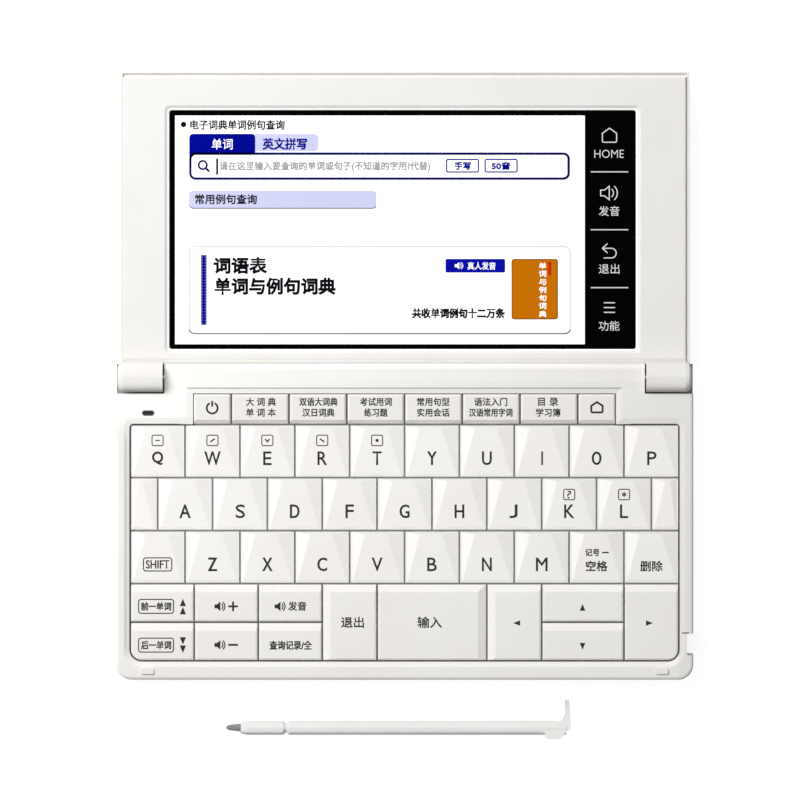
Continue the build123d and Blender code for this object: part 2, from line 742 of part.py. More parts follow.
# ---------------------------------------------------------------- rubber key mat, a dome under every cap
with BuildPart() as key_mat:
    with BuildSketch(Plane.XY.offset(board_top_z)):
        window_outline(mat_margin)
    extrude(amount=mat_web_t)
    all_boxes = [*letter_boxes.values(), *block_boxes.values(), power_box, home_box, *wide_boxes]
    with BuildSketch(Plane.XY.offset(web_top_z)):
        for left, right, near, far in all_boxes:
            with Locations(((left + right) / 2, (near + far) / 2)):
                RegularPolygon(min(dome_base_r, (far - near) / 4), dome_sides)
    extrude(amount=dome_h, taper=dome_taper)
save(key_mat.part, "key_mat")

# ---------------------------------------------------------------- keys
for name, box in letter_boxes.items():
    save(faceted_cap(*box), f"key_{name}")
for name, _, _, _, _, broad in block_keys:
    rounded = {"next": "left", "right": "right"}.get(name)
    save(flat_cap(*block_boxes[name], flat_top_z, broad, rounded), f"key_{name}")
top_bevel = {"near": top_cap_bevel_w}
save(flat_cap(*power_box, top_cap_z, top_bevel), "key_power")
save(flat_cap(*home_box, top_cap_z, top_bevel), "key_home")
with BuildPart() as function_keys:
    for box in wide_boxes:
        add(flat_cap(*box, top_cap_z, top_bevel))
save(function_keys.part, "function_keys")

# ---------------------------------------------------------------- speaker and microphone
with BuildPart() as speaker_and_microphone:
    with BuildSketch(Plane.XY.offset(floor_z)):
        with Locations((speaker_x, speaker_y)):
            Circle(speaker_r)
    extrude(amount=speaker_t)
    with BuildSketch(Plane.XY.offset(floor_z + speaker_t)):
        with Locations((speaker_x, speaker_y)):
            Circle(magnet_r)
    extrude(amount=board_under_z - floor_z - speaker_t - seat_gap)
    with BuildSketch(Plane.XY.offset(deck_under_z - mic_t)):
        with Locations((slot_x, slot_y)):
            Circle(mic_r)
    extrude(amount=mic_t)
save(speaker_and_microphone.part, "speaker_and_microphone")

# ---------------------------------------------------------------- feet and screws
standing = (Align.CENTER, Align.CENTER, Align.MIN)
with BuildPart() as rubber_feet:
    with Locations(*[(x, y, 0) for x, y in foot_places]):
        Cylinder(foot_r - seat_gap, foot_stand_out + foot_pocket, align=standing)
save(rubber_feet.part, "rubber_feet")

with BuildPart() as screws:
    with Locations(*[(x, y, screw_head_z) for x, y in screw_places]):
        Cylinder(screw_head_r, screw_head_t, align=standing)
    with BuildSketch(Plane.XY.offset(screw_head_z + screw_head_t)):
        with Locations(*screw_places):
            RegularPolygon(screw_r, screw_sides)
    extrude(amount=screw_length)
    with Locations(*[(x, y, screw_head_z + screw_head_t / 4) for x, y in screw_places]):
        Box(screw_head_r, screw_head_r / 4, screw_head_t / 2, mode=Mode.SUBTRACT)
        Box(screw_head_r / 4, screw_head_r, screw_head_t / 2, mode=Mode.SUBTRACT)
save(screws.part, "screws")

# ---------------------------------------------------------------- lid: outer cover with the hinge barrels
with BuildPart() as lid_outer_cover:
    lid_half = lid_width / 2
    with BuildSketch(Plane.XY.offset(lid_back_z)):
        rect(-lid_half, lid_half, lid_near_y, lid_far_y)
    extrude(amount=lid_thickness - lid_rim_drop)
    fillet(lid_outer_cover.faces().sort_by(Axis.Z)[0].edges(), lid_back_edge_r)
    with BuildSketch(Plane.XY.offset(bezel_under_z)):
        half = lid_half - lid_rim_w
        rect(-half, half, lid_near_y - wall, lid_far_y - lid_far_rim_w)
    extrude(amount=lid_thickness, mode=Mode.SUBTRACT)
    with BuildSketch(Plane.XY.offset(lid_back_z + lid_skin)):
        rect(-lid_half + lid_wall, lid_half - lid_wall, lid_near_y + lid_wall, lid_far_y - lid_wall)
    extrude(amount=lid_thickness, mode=Mode.SUBTRACT)
    for sign in (-1, 1):
        # neck from the barrel into the cover's near wall
        with BuildSketch(Plane.XY.offset(seam_z + barrel_gap)):
            band(sign, barrel_inner_x, lid_half, hinge_y, lid_near_y + lid_wall / 2)
        extrude(amount=bezel_under_z - seam_z - barrel_gap)
        # barrel, its outer end rounded
        with BuildSketch(Plane.XY.offset(hinge_z)) as half_section:
            band(sign, barrel_inner_x, barrel_outer_x, hinge_y, hinge_y + barrel_r)
            far_corners = half_section.vertices().group_by(Axis.Y)[-1].sort_by(lambda v: abs(v.X))
            chamfer(far_corners[-1], barrel_end_chamfer)
            outer_corners = half_section.vertices().sort_by(lambda v: abs(v.X) + v.Y)
            chamfer(outer_corners[-2:], barrel_end_step)
        revolve(axis=Axis((0, hinge_y, hinge_z), (1, 0, 0)))
    for sign in (-1, 1):
        with BuildSketch(Plane.YZ.offset(sign * barrel_inner_x)):
            with Locations((hinge_y, hinge_z)):
                Circle(hinge_pin_r + hinge_pin_fit)
        bore = hinge_pin_length / 2 - barrel_gap + seat_gap
        extrude(amount=sign * bore, mode=Mode.SUBTRACT)
save(lid_outer_cover.part, "lid_outer_cover")

with BuildPart() as hinge_pins:
    for sign in (-1, 1):
        with BuildSketch(Plane.YZ.offset(sign * (ridge_half - hinge_pin_length / 2))):
            with Locations((hinge_y, hinge_z)):
                Circle(hinge_pin_r)
        extrude(amount=sign * hinge_pin_length)
save(hinge_pins.part, "hinge_pins")

# ---------------------------------------------------------------- lid: bezel, touch glass, display
glass_top_z = lid_face_z - glass_sink
with BuildPart() as lid_bezel:
    bezel_half = lid_width / 2 - lid_rim_w - bezel_fit
    with BuildSketch(Plane.XY.offset(bezel_under_z)):
        rect(-bezel_half, bezel_half, lid_near_y, lid_far_y - lid_far_rim_w - lid_far_groove)
    extrude(amount=bezel_t)
    with BuildSketch(Plane.YZ.offset(-bezel_half)):
        with BuildLine():
            inner_end = (lid_near_y + bezel_slope_w, lid_face_z)
            outer_end = (lid_near_y, lid_face_z - bezel_slope_drop)
            Polyline(inner_end, outer_end, (lid_near_y, lid_face_z), close=True)
        make_face()
    extrude(amount=2 * bezel_half, mode=Mode.SUBTRACT)
    fillet(lid_bezel.faces().sort_by(Axis.Z)[-1].edges(), bezel_edge_r)
    with BuildSketch(Plane.XY.offset(bezel_under_z)):
        with Locations((glass_mid_x, glass_mid_y)):
            RectangleRounded(glass_width, glass_depth, glass_corner_r)
    extrude(amount=bezel_t, mode=Mode.SUBTRACT)
    with BuildSketch(Plane.XY.offset(glass_top_z)):
        with Locations((glass_mid_x, glass_mid_y)):
            RectangleRounded(glass_width, glass_depth, glass_corner_r)
    with BuildSketch(Plane.XY.offset(lid_face_z)):
        with Locations((glass_mid_x, glass_mid_y)):
            RectangleRounded(
                glass_width + 2 * glass_chamfer_w,
                glass_depth + 2 * glass_chamfer_w,
                glass_corner_r + glass_chamfer_w / 2,
            )
    loft(ruled=True, mode=Mode.SUBTRACT)
save(lid_bezel.part, "lid_bezel")

with BuildPart() as touch_glass:
    with BuildSketch(Plane.XY.offset(glass_top_z - glass_t)):
        with Locations((glass_mid_x, glass_mid_y)):
            RectangleRounded(
                glass_width - 2 * glass_fit,
                glass_depth - 2 * glass_fit,
                glass_corner_r - glass_fit,
            )
    extrude(amount=glass_t)
save(touch_glass.part, "touch_glass")

with BuildPart() as display_module:
    display_top_z = min(glass_top_z - glass_t, bezel_under_z)
    display_low_z = lid_back_z + lid_skin + display_lift
    with BuildSketch(Plane.XY.offset(display_low_z)):
        with Locations((glass_mid_x, glass_mid_y)):
            Rectangle(glass_width + 2 * display_margin, glass_depth + 2 * display_margin)
    extrude(amount=display_top_z - display_low_z)
save(display_module.part, "display_module")

# ---------------------------------------------------------------- stylus, lying in front of the base
stylus_y = front_y - stylus_from_front
stylus_x_tip = stylus_x_end - stylus_length
nose_x = stylus_x_tip + stylus_tip_length
groove_x = nose_x + stylus_nose_length
hook_x = stylus_x_end - hook_length
with BuildPart() as stylus:
    with BuildSketch(Plane.XZ.offset(-stylus_y)):
        with BuildLine():
            top = 2 * stylus_r
            tail_x = stylus_x_end - hook_fin_t
            Polyline(
                (nose_x, stylus_r),
                (nose_x, stylus_r + stylus_nose_r),
                (nose_x + stylus_nose_taper, top),
                (groove_x, top),
                (groove_x + stylus_groove_w / 2, top - stylus_groove_depth),
                (groove_x + stylus_groove_w, top),
                (tail_x, top),
                (tail_x, stylus_r),
                close=True,
            )
        make_face()
    revolve(axis=Axis((0, stylus_y, stylus_r), (1, 0, 0)))
    # hook: the shaft sweeps up into a thin fin, with a foot on the other side
    with BuildSketch(Plane.XY.offset(stylus_r - hook_width / 2)):
        with BuildLine():
            fin_top = stylus_y + hook_rise
            fin_left = stylus_x_end - hook_fin_t - hook_fin_taper
            sweep_top = stylus_y + 2 * stylus_r
            foot_y = stylus_y - hook_drop
            foot_right = stylus_x_end - hook_drop
            Polyline(
                (fin_left, sweep_top),
                (fin_left, fin_top),
                (stylus_x_end - hook_fin_taper, fin_top),
                (stylus_x_end, stylus_y),
                (foot_right, foot_y),
                (foot_right - hook_foot_length, foot_y),
                (hook_x, stylus_y - stylus_r),
                (hook_x, stylus_y),
            )
            ThreePointArc(
                (hook_x, stylus_y),
                (fin_left - hook_sweep_in, stylus_y + hook_sweep_up),
                (fin_left, sweep_top),
            )
        make_face()
    extrude(amount=hook_width)
save(stylus.part, "stylus")

with BuildPart() as stylus_tip:
    with BuildSketch(Plane.XZ.offset(-stylus_y)):
        with BuildLine():
            Polyline(
                (stylus_x_tip, stylus_r),
                (nose_x, stylus_r),
                (nose_x, stylus_r + stylus_tip_r),
                (stylus_x_tip + stylus_tip_end_r, stylus_r + stylus_tip_end_r),
                (stylus_x_tip, stylus_r + stylus_tip_end_r / 2),
                close=True,
            )
        make_face()
    revolve(axis=Axis((0, stylus_y, stylus_r), (1, 0, 0)))
save(stylus_tip.part, "stylus_tip")

print("ok")
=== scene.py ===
# %% [markdown]
# # A clamshell electronic dictionary, opened flat
# The object is a pocket dictionary: a keyboard half, a screen half that turns on two barrels, and
# a stylus.  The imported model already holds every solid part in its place.  This notebook dresses
# those parts: it makes their finishes, prints the legends on the keys and lights up the screen.

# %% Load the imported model
import math
import string
import bpy
import bmesh
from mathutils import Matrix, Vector
from mathutils.bvhtree import BVHTree


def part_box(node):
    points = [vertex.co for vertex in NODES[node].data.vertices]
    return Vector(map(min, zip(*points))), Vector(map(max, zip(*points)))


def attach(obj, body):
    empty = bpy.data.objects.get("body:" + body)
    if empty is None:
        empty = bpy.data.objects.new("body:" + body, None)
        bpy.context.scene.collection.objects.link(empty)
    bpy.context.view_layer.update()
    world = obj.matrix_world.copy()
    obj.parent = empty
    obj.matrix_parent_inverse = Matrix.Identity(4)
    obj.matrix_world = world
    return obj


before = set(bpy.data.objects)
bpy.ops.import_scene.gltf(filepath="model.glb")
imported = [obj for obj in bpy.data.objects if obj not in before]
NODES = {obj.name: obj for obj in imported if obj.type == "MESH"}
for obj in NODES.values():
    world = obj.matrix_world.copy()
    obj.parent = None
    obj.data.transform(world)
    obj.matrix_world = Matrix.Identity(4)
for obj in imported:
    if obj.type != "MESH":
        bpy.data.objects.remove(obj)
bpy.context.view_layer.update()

# %% [markdown]
# ## Units and colours
# Blender counts in metres and in linear light.  The object is small, so sizes are written here in
# millimetres, and colours as the sRGB numbers that a colour picker shows.

# %% Helpers for millimetres and colours
MM = 0.001


def mm(*values):
    """A vector given in millimetres."""
    return Vector([MM * v for v in values])


def srgb(r, g, b):
    """A linear colour from sRGB values between 0 and 255."""
    linear = []
    for value in (r, g, b):
        share = value / 255
        low = share / 12.92
        high = ((share + 0.055) / 1.055) ** 2.4
        linear.append(low if share <= 0.04045 else high)
    return (*linear, 1.0)


print("pearl white in linear light:", [round(v, 3) for v in srgb(240, 238, 234)])

# %% [markdown]
# ## Camera
# The device is looked at from straight above, from so far away that it shows almost no
# perspective.  A long lens does that, and a real camera would stand two metres up.

# %% Camera
CAMERA_X, CAMERA_Y = -1.17, 33.07
CAMERA_HEIGHT = 2010.4
FIELD = 205.95  # width seen at the level of the keyboard
DECK_Z = 10.4
SENSOR = 36.0
camera_data = bpy.data.cameras.new("overhead_camera")
camera_data.sensor_width = SENSOR
camera_data.lens = SENSOR * (CAMERA_HEIGHT - DECK_Z) / FIELD
camera_data.clip_start, camera_data.clip_end = 0.1, 10
camera = bpy.data.objects.new("overhead_camera", camera_data)
camera.location = mm(CAMERA_X, CAMERA_Y, CAMERA_HEIGHT)
scene = bpy.context.scene
scene.collection.objects.link(camera)
scene.camera = camera
print("lens, mm:", round(camera_data.lens, 1))

# %% [markdown]
# ## Building with nodes
# Floor, room and finishes are all node trees.  Adding a node, setting its options and feeding its
# inputs is always the same work, so a few helpers do it.  An input takes either a plain value or
# the output of another node, and the helpers accept both.

# %% Helpers for node trees
def feed(tree, socket, value):
    """Give an input a plain value, or link it to the output that brings one."""
    if isinstance(value, bpy.types.NodeSocket):
        tree.links.new(value, socket)
    else:
        socket.default_value = value


def put(tree, kind, inputs=None, **settings):
    """Add a node to a tree, set its options and feed its inputs."""
    node = tree.nodes.new(kind)
    for name, value in settings.items():
        setattr(node, name, value)
    for name, value in (inputs or {}).items():
        feed(tree, node.inputs[name], value)
    return node


def calculate(tree, operation, first, second):
    """The result of a Math node."""
    return put(tree, "ShaderNodeMath", {0: first, 1: second}, operation=operation).outputs[0]


def times(tree, first, second):
    """The product of two values; of two masks it is the place where both hold."""
    return calculate(tree, "MULTIPLY", first, second)


def dot(tree, first, second):
    """How far two directions agree, from a Vector Math node."""
    node = put(tree, "ShaderNodeVectorMath", {0: first, 1: second}, operation="DOT_PRODUCT")
    return node.outputs["Value"]


def remap(tree, value, low, high, to_low=0.0, to_high=1.0):
    """The result of a clamped Map Range node."""
    limits = {"From Min": low, "From Max": high, "To Min": to_low, "To Max": to_high}
    node = put(tree, "ShaderNodeMapRange", {"Value": value, **limits}, clamp=True)
    return node.outputs["Result"]


def blend_colours(tree, share, first, second):
    """A share of the second colour laid over the first."""
    return put(tree, "ShaderNodeMix", {0: share, 6: first, 7: second}, data_type="RGBA").outputs[2]


def place_on_object(tree):
    """The place of a point on its own object."""
    return put(tree, "ShaderNodeTexCoord").outputs["Object"]


def noise(tree, place, scale, detail, roughness=0.5, distortion=0.0):
    """Soft clouds between 0 and 1, from a Noise Texture node."""
    inputs = {"Vector": place, "Scale": scale, "Detail": detail, "Roughness": roughness}
    return put(tree, "ShaderNodeTexNoise", {**inputs, "Distortion": distortion}).outputs["Fac"]


print("helpers for node trees are ready")

# %% [markdown]
# ## Floor and light
# A pale table and one large soft panel at the upper left, as in a catalogue studio.  The panel is
# near enough for the right-hand side to fall a little darker.  A dim white room fills the
# shadows.  What the camera sees of floor and room is lifted to white by its own colour, so no
# lamp has to burn it out, and the table still takes the object's shadow.  Glossy plastic would
# mirror the bright panel when it is looked at from low down and lose its shape, so the panel
# gives light but no mirror image.

# %% The room
ROOM_FILL = 0.345
WHITE = (1, 1, 1, 1)


def choose(tree, unseen, seen):
    """One shader for light that bounces, another for camera, mirror and glass rays."""
    path = put(tree, "ShaderNodeLightPath").outputs
    either = calculate(tree, "MAXIMUM", path["Is Camera Ray"], path["Is Glossy Ray"])
    direct = calculate(tree, "MAXIMUM", either, path["Is Transmission Ray"])
    return put(tree, "ShaderNodeMixShader", {0: direct, 1: unseen, 2: seen}).outputs[0]


scene.view_settings.view_transform = "Standard"
room = bpy.data.worlds.new("studio_room")
room.use_nodes = True
scene.world = room
tree = room.node_tree
tree.nodes.clear()
fill, white = [put(tree, "ShaderNodeBackground", {"Color": WHITE, "Strength": strength}).outputs[0]
               for strength in (ROOM_FILL, 1.0)]
put(tree, "ShaderNodeOutputWorld", {"Surface": choose(tree, fill, white)})
print("room fill:", ROOM_FILL)

# %% The table
TABLE_HALF = 3000
TABLE_LIFT = 0.72
TABLE_TOP = -0.02  # just below the rubber feet
TABLE_GREYS = (0.80, 0.83)
TABLE_CLOUDS = 9.0  # per metre
corners = [(-TABLE_HALF, -TABLE_HALF), (TABLE_HALF, -TABLE_HALF), (TABLE_HALF, TABLE_HALF),
           (-TABLE_HALF, TABLE_HALF)]
table_mesh = bpy.data.meshes.new("table")
table_mesh.from_pydata([mm(x, y, TABLE_TOP) for x, y in corners], [], [(0, 1, 2, 3)])
table = bpy.data.objects.new("table", table_mesh)
scene.collection.objects.link(table)
table_finish = bpy.data.materials.new("table_top")
table_finish.use_nodes = True
tree = table_finish.node_tree
tree.nodes.clear()
grain = noise(tree, place_on_object(tree), TABLE_CLOUDS, detail=3.0)
tone = put(tree, "ShaderNodeValToRGB", {"Fac": grain})
for stop, grey in zip(tone.color_ramp.elements, TABLE_GREYS):
    stop.color = (grey, grey, grey, 1)
matte = put(tree, "ShaderNodeBsdfDiffuse", {"Color": tone.outputs["Color"], "Roughness": 0.3})
dark, glow = [put(tree, "ShaderNodeEmission", {"Strength": strength}).outputs[0]
              for strength in (0.0, TABLE_LIFT)]
both = put(tree, "ShaderNodeAddShader", {0: matte.outputs[0], 1: choose(tree, dark, glow)})
put(tree, "ShaderNodeOutputMaterial", {"Surface": both.outputs[0]})
table_mesh.materials.append(table_finish)
print("table, m across:", 2 * TABLE_HALF * MM)

# %% The soft panel
PANEL_PLACE, PANEL_AIM = mm(-430, 450, 610), mm(0, 35, 10)
PANEL_SIZE = 480
PANEL_POWER = 7.36
panel_data = bpy.data.lights.new("soft_panel", "AREA")
panel_data.shape = "SQUARE"
panel_data.size = MM * PANEL_SIZE
panel_data.energy = PANEL_POWER
panel = bpy.data.objects.new("soft_panel", panel_data)
panel.location = PANEL_PLACE
panel.rotation_euler = (PANEL_AIM - PANEL_PLACE).to_track_quat("-Z", "Y").to_euler()
panel.visible_glossy = False
scene.collection.objects.link(panel)
print("panel, W:", panel_data.energy)

# %% [markdown]
# ## Effects that several finishes share
# Moulded plastic is never one flat colour.  The mould leaves a very fine grain, edges are
# slightly rounded and get polished by hands, and dust settles on what faces up.  Each effect is a
# shader node group, so every finish can use it with its own values.

# %% A group with named sockets
def add_socket(group, label, way, is_vector):
    """A named input or output, for a number or for a vector."""
    kind = "NodeSocketVector" if is_vector else "NodeSocketFloat"
    return group.interface.new_socket(label, in_out=way, socket_type=kind)


def new_group(name, inputs):
    """An empty node group and the inputs it is given, each with a name and a default."""
    group = bpy.data.node_groups.new(name, "ShaderNodeTree")
    for label, value in inputs.items():
        add_socket(group, label, "INPUT", isinstance(value, tuple)).default_value = value
    return group, put(group, "NodeGroupInput").outputs


def close_group(group, **results):
    """Hand the results to the outputs of a group, which is then ready for use."""
    for label, result in results.items():
        add_socket(group, label, "OUTPUT", result.type == "VECTOR")
    put(group, "NodeGroupOutput", results)
    print("group:", group.name)
    return group


def per_metre(group, density):
    """A density per millimetre in the metres that Blender counts in."""
    return times(group, density, 1 / MM)


# %% Group: the grain of a mould
CLOUD_SHARE, SPECK_SHARE = 0.75, 0.25
tree, given = new_group("mould_grain", {"Grain per mm": 4.0, "Cloud per mm": 0.05})
place = place_on_object(tree)
fine = noise(tree, place, per_metre(tree, given["Grain per mm"]), detail=2.0, roughness=0.6)
cloud = noise(tree, place, per_metre(tree, given["Cloud per mm"]), detail=3.0)
soft = times(tree, cloud, CLOUD_SHARE)
speck = times(tree, fine, SPECK_SHARE)
grain_group = close_group(tree, Height=fine, Mottle=calculate(tree, "ADD", soft, speck))

# %% Group: rounded and worn edges
EDGE_STARTS, EDGE_FULL = 0.998, 0.9  # how far the rounded and the true direction agree
BEVEL_SAMPLES = 4
tree, given = new_group("soft_edges", {"Radius in mm": 0.15})
radius = times(tree, given["Radius in mm"], MM)
rounded = put(tree, "ShaderNodeBevel", {"Radius": radius}, samples=BEVEL_SAMPLES).outputs["Normal"]
agree = dot(tree, rounded, put(tree, "ShaderNodeNewGeometry").outputs["True Normal"])
edge_group = close_group(tree, Edge=remap(tree, agree, EDGE_STARTS, EDGE_FULL), Normal=rounded)

# %% Group: slopes that catch the light of the whole room
SLOPE_SOFTNESS = 0.04
STEEPEST = 0.1  # what is steeper than this counts as a wall, not as a slope
tree, given = new_group("soft_slopes", {"Normal": (0, 0, 1), "Share": 0.0, "Start": 1.0})
up = put(tree, "ShaderNodeVectorTransform", {0: (0, 0, 1)}, vector_type="NORMAL",
         convert_from="OBJECT", convert_to="WORLD").outputs[0]
tilt = dot(tree, put(tree, "ShaderNodeNewGeometry").outputs["True Normal"], up)
begin = calculate(tree, "SUBTRACT", given["Start"], SLOPE_SOFTNESS)
sloped = remap(tree, tilt, given["Start"], begin)
slope = times(tree, sloped, remap(tree, tilt, 0.0, STEEPEST))
share = times(tree, slope, given["Share"])
lean = put(tree, "ShaderNodeMix", {0: share, 4: given["Normal"], 5: up}, data_type="VECTOR")
unit = put(tree, "ShaderNodeVectorMath", {0: lean.outputs[1]}, operation="NORMALIZE")
lean_group = close_group(tree, Normal=unit.outputs["Vector"], Slope=slope)

# %% Group: a share that fades along one axis of the object
tree, given = new_group("fade_along", {"Axis": (1, 0, 0), "From in mm": 0.0, "To in mm": 10.0})
along = dot(tree, place_on_object(tree), given["Axis"])
reach = calculate(tree, "DIVIDE", along, MM)
fade_group = close_group(tree, Share=remap(tree, reach, given["From in mm"], given["To in mm"]))

# %% Group: settled dust
FLECKS = (0.62, 0.82)  # the part of the noise that shows as flecks
FACING_UP = (0.2, 0.9)
tree, given = new_group("settled_dust", {"Specks per mm": 0.6, "Amount": 0.3})
density = per_metre(tree, given["Specks per mm"])
specks = noise(tree, place_on_object(tree), density, detail=4.0, roughness=0.7)
normal = put(tree, "ShaderNodeNewGeometry").outputs["Normal"]
upward = put(tree, "ShaderNodeSeparateXYZ", {0: normal}).outputs["Z"]
flecks = remap(tree, specks, *FLECKS)
lying = times(tree, flecks, remap(tree, upward, *FACING_UP))
dust_group = close_group(tree, Dust=times(tree, lying, given["Amount"]))

# %% Group: wiped finger marks
WIPE_TURN, WIPE_STRETCH = 0.5, 3.2
SMEARED = (0.4, 0.75)
tree, given = new_group("wiped_smears", {"Smears per mm": 0.08})
stretch = put(tree, "ShaderNodeMapping", {
    "Vector": place_on_object(tree), "Rotation": (0, 0, WIPE_TURN), "Scale": (1, WIPE_STRETCH, 1),
})
density = per_metre(tree, given["Smears per mm"])
smears = noise(tree, stretch.outputs["Vector"], density, detail=5.0, roughness=0.55, distortion=0.6)
smear_group = close_group(tree, Smear=remap(tree, smears, *SMEARED))

# %% [markdown]
# ## Masks
# Some places of the housing get a tone of their own: painted light on the strip behind the keys,
# painted shade on the slopes round them and on the outside of the lid, and a darker line at the
# joint between the two halves.  These tones could be drawn on a picture, but a mask made of fades
# along the object's own axes is exact, and it moves with the part.  A fade is 0 before its first
# number and 1 after its second, both in millimetres along the axis.  What several fades have in
# common is a box with soft sides, and a mask is one box or more.

# %% Masks made of fades
RIGHT, LEFT, FAR, NEAR = (1, 0, 0), (-1, 0, 0), (0, 1, 0), (0, -1, 0)
UP, DOWN = (0, 0, 1), (0, 0, -1)
LID_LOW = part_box("lid_outer_cover")[0].z / MM
SEAM_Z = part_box("base_lower_shell")[1].z / MM
CAP_ROW = [(FAR, -0.5, -0.4), (NEAR, -13.0, -12.9)]
# painted light on the strip between hinge and keys, strongest at its left end, nearest the lamp
DECK_PAINTED_LIGHT = [[(FAR, 22, 30), (LEFT, -74, 60)]]
# painted shade on the slopes round the keys that would face the lamp: the right side and the far
# side
LIT_SLOPES_PAINTED_SHADE = [[(RIGHT, 70.5, 70.8)], [(FAR, 22, 24), (NEAR, -38, -37.5)]]
# painted shade on the fold low on the left slope, which lies in its own shade
LEFT_CREASE_PAINTED_SHADE = [[(LEFT, 71.4, 71.6), (RIGHT, -72.3, -72.1), (FAR, -33, -30), (NEAR, -27, -25)]]
# painted shade on the outside of the lid, which lies below while the lid is open
LID_BACK_PAINTED_SHADE = [[(DOWN, -LID_LOW - 1.4, -LID_LOW - 0.5)]]
# the fine joint that runs round the base where its two halves meet
SEAM = [[(UP, SEAM_Z - 0.14, SEAM_Z - 0.1), (DOWN, -SEAM_Z - 0.1, -SEAM_Z - 0.06)]]
# the two fixed half caps at the ends of the middle letter row
HALF_CAPS = [[(side, 63.6, 63.8), (other, -70.55, -70.5), *CAP_ROW]
             for side, other in ((RIGHT, LEFT), (LEFT, RIGHT))]


def fade(tree, axis, start, stop):
    """0 before `start` and 1 after `stop`, in mm along an axis of the object."""
    limits = {"Axis": axis, "From in mm": start, "To in mm": stop}
    return put(tree, "ShaderNodeGroup", limits, node_tree=fade_group).outputs["Share"]


def any_of(tree, masks):
    """Where at least one of some masks holds."""
    result = masks[0]
    for mask in masks[1:]:
        result = calculate(tree, "MAXIMUM", result, mask)
    return result


def mask_of(tree, boxes):
    """1 inside the boxes, 0 outside; each box is a list of fades."""
    masks = []
    for first, *others in boxes:
        inside = fade(tree, *first)
        for other in others:
            inside = times(tree, inside, fade(tree, *other))
        masks.append(inside)
    return any_of(tree, masks)


print("lid back at", round(LID_LOW, 2), "mm, seam at", round(SEAM_Z, 2), "mm")

# %% [markdown]
# ## Finishes
# All the plastics are built by one recipe: two close shades clouded together, a lighter or darker
# tone where edges are handled, a little dust, and a bump from the grain.  Some finishes also carry
# painted light and shade: a paler tone on sloped key rims, a painted highlight, and masked tones on
# the housing.  The values make the difference between pearl lacquer, matt keycaps, rubber and
# printed ink.

# %% Recipe for a moulded finish
FINISHES = {}
DUST_TONE = srgb(206, 202, 196)
SHADE_CLOUDS, ROUGH_CLOUDS = (0.35, 0.65), (0.3, 0.7)  # the part of the mottle that each one spans


def moulded(name, light, dark, roughness, *, edge=None, edge_mm=0.12, edge_share=0.5, grain=4.0,
            cloud=0.05, bump_mm=0.004, dust=0.1, metallic=0.0, coat=0.0, coat_roughness=0.1,
            specular=0.5, glow=0.0, smear=0.0, rough_spread=0.06, lean=0.0, lean_start=1.0, rim=0.0,
            paler=(), tones=()):
    """A named material: shades, edge tone, grain, dust and gloss of one finish.

    All colours are sRGB numbers.  `paler` and `tones` are pairs of a mask and the colour that it
    shows, and several of them are painted light or painted shade; where `paler` holds masks, only
    the places that they cover lean towards the light.  `rim` is the share of the edge colour laid
    on sloped rims, a painted highlight.
    """
    finish = bpy.data.materials.new(name)
    finish.use_nodes = True
    tree = finish.node_tree
    tree.nodes.clear()
    mould = put(tree, "ShaderNodeGroup", {"Grain per mm": grain, "Cloud per mm": cloud},
                node_tree=grain_group).outputs
    edges = put(tree, "ShaderNodeGroup", {"Radius in mm": edge_mm}, node_tree=edge_group).outputs
    clouds = remap(tree, mould["Mottle"], *SHADE_CLOUDS)
    shade = blend_colours(tree, clouds, srgb(*dark), srgb(*light))
    handled, edge = times(tree, edges["Edge"], edge_share), srgb(*(edge or light))
    shade = blend_colours(tree, handled, shade, edge)
    leaning = [mask_of(tree, boxes) for boxes, _ in paler]
    masks = leaning + [mask_of(tree, boxes) for boxes, _ in tones]
    for mask, (_, colour) in zip(masks, (*paler, *tones)):
        shade = blend_colours(tree, mask, shade, srgb(*colour))
    half = rough_spread / 2
    rough = remap(tree, mould["Mottle"], *ROUGH_CLOUDS, roughness - half, roughness + half)
    if dust:
        dusty = put(tree, "ShaderNodeGroup", {"Amount": dust}, node_tree=dust_group).outputs["Dust"]
        shade = blend_colours(tree, dusty, shade, DUST_TONE)
        rough = calculate(tree, "ADD", rough, dusty)
    if smear:
        smears = put(tree, "ShaderNodeGroup", node_tree=smear_group).outputs["Smear"]
        rough = calculate(tree, "ADD", rough, times(tree, smears, smear))
    facing = edges["Normal"]
    if lean:
        share = times(tree, any_of(tree, leaning), lean) if leaning else lean
        inputs = {"Share": share, "Start": lean_start, "Normal": facing}
        slopes = put(tree, "ShaderNodeGroup", inputs, node_tree=lean_group).outputs
        facing = slopes["Normal"]
        # a paler tone on sloped rims is a painted highlight
        if rim:
            rim_highlight = times(tree, slopes["Slope"], rim)
            shade = blend_colours(tree, rim_highlight, shade, edge)
    bump = put(tree, "ShaderNodeBump", {
        "Strength": 1.0, "Distance": MM * bump_mm, "Height": mould["Height"], "Normal": facing,
    })
    shader = put(tree, "ShaderNodeBsdfPrincipled", {
        "Base Color": shade, "Roughness": rough, "Normal": bump.outputs["Normal"],
        "Metallic": metallic, "Specular IOR Level": specular, "Coat Weight": coat,
        "Coat Roughness": coat_roughness,
    })
    if glow:
        feed(tree, shader.inputs["Emission Color"], shade)
        feed(tree, shader.inputs["Emission Strength"], glow)
    put(tree, "ShaderNodeOutputMaterial", {"Surface": shader.outputs[0]})
    FINISHES[name] = finish


print("recipe: moulded")

# %% Housing, bezel and keycaps
PEARL = ((240, 238, 234), (236, 233, 229), 0.42)  # light shade, dark shade, roughness
LACQUER = dict(edge=(246, 245, 242), edge_share=0.6, specular=0.14, coat=0.06, coat_roughness=0.25,
               bump_mm=0.0015, dust=0.05)
KEY_SATIN = dict(specular=0.14, coat=0.05, coat_roughness=0.3, bump_mm=0.0015, dust=0.05)
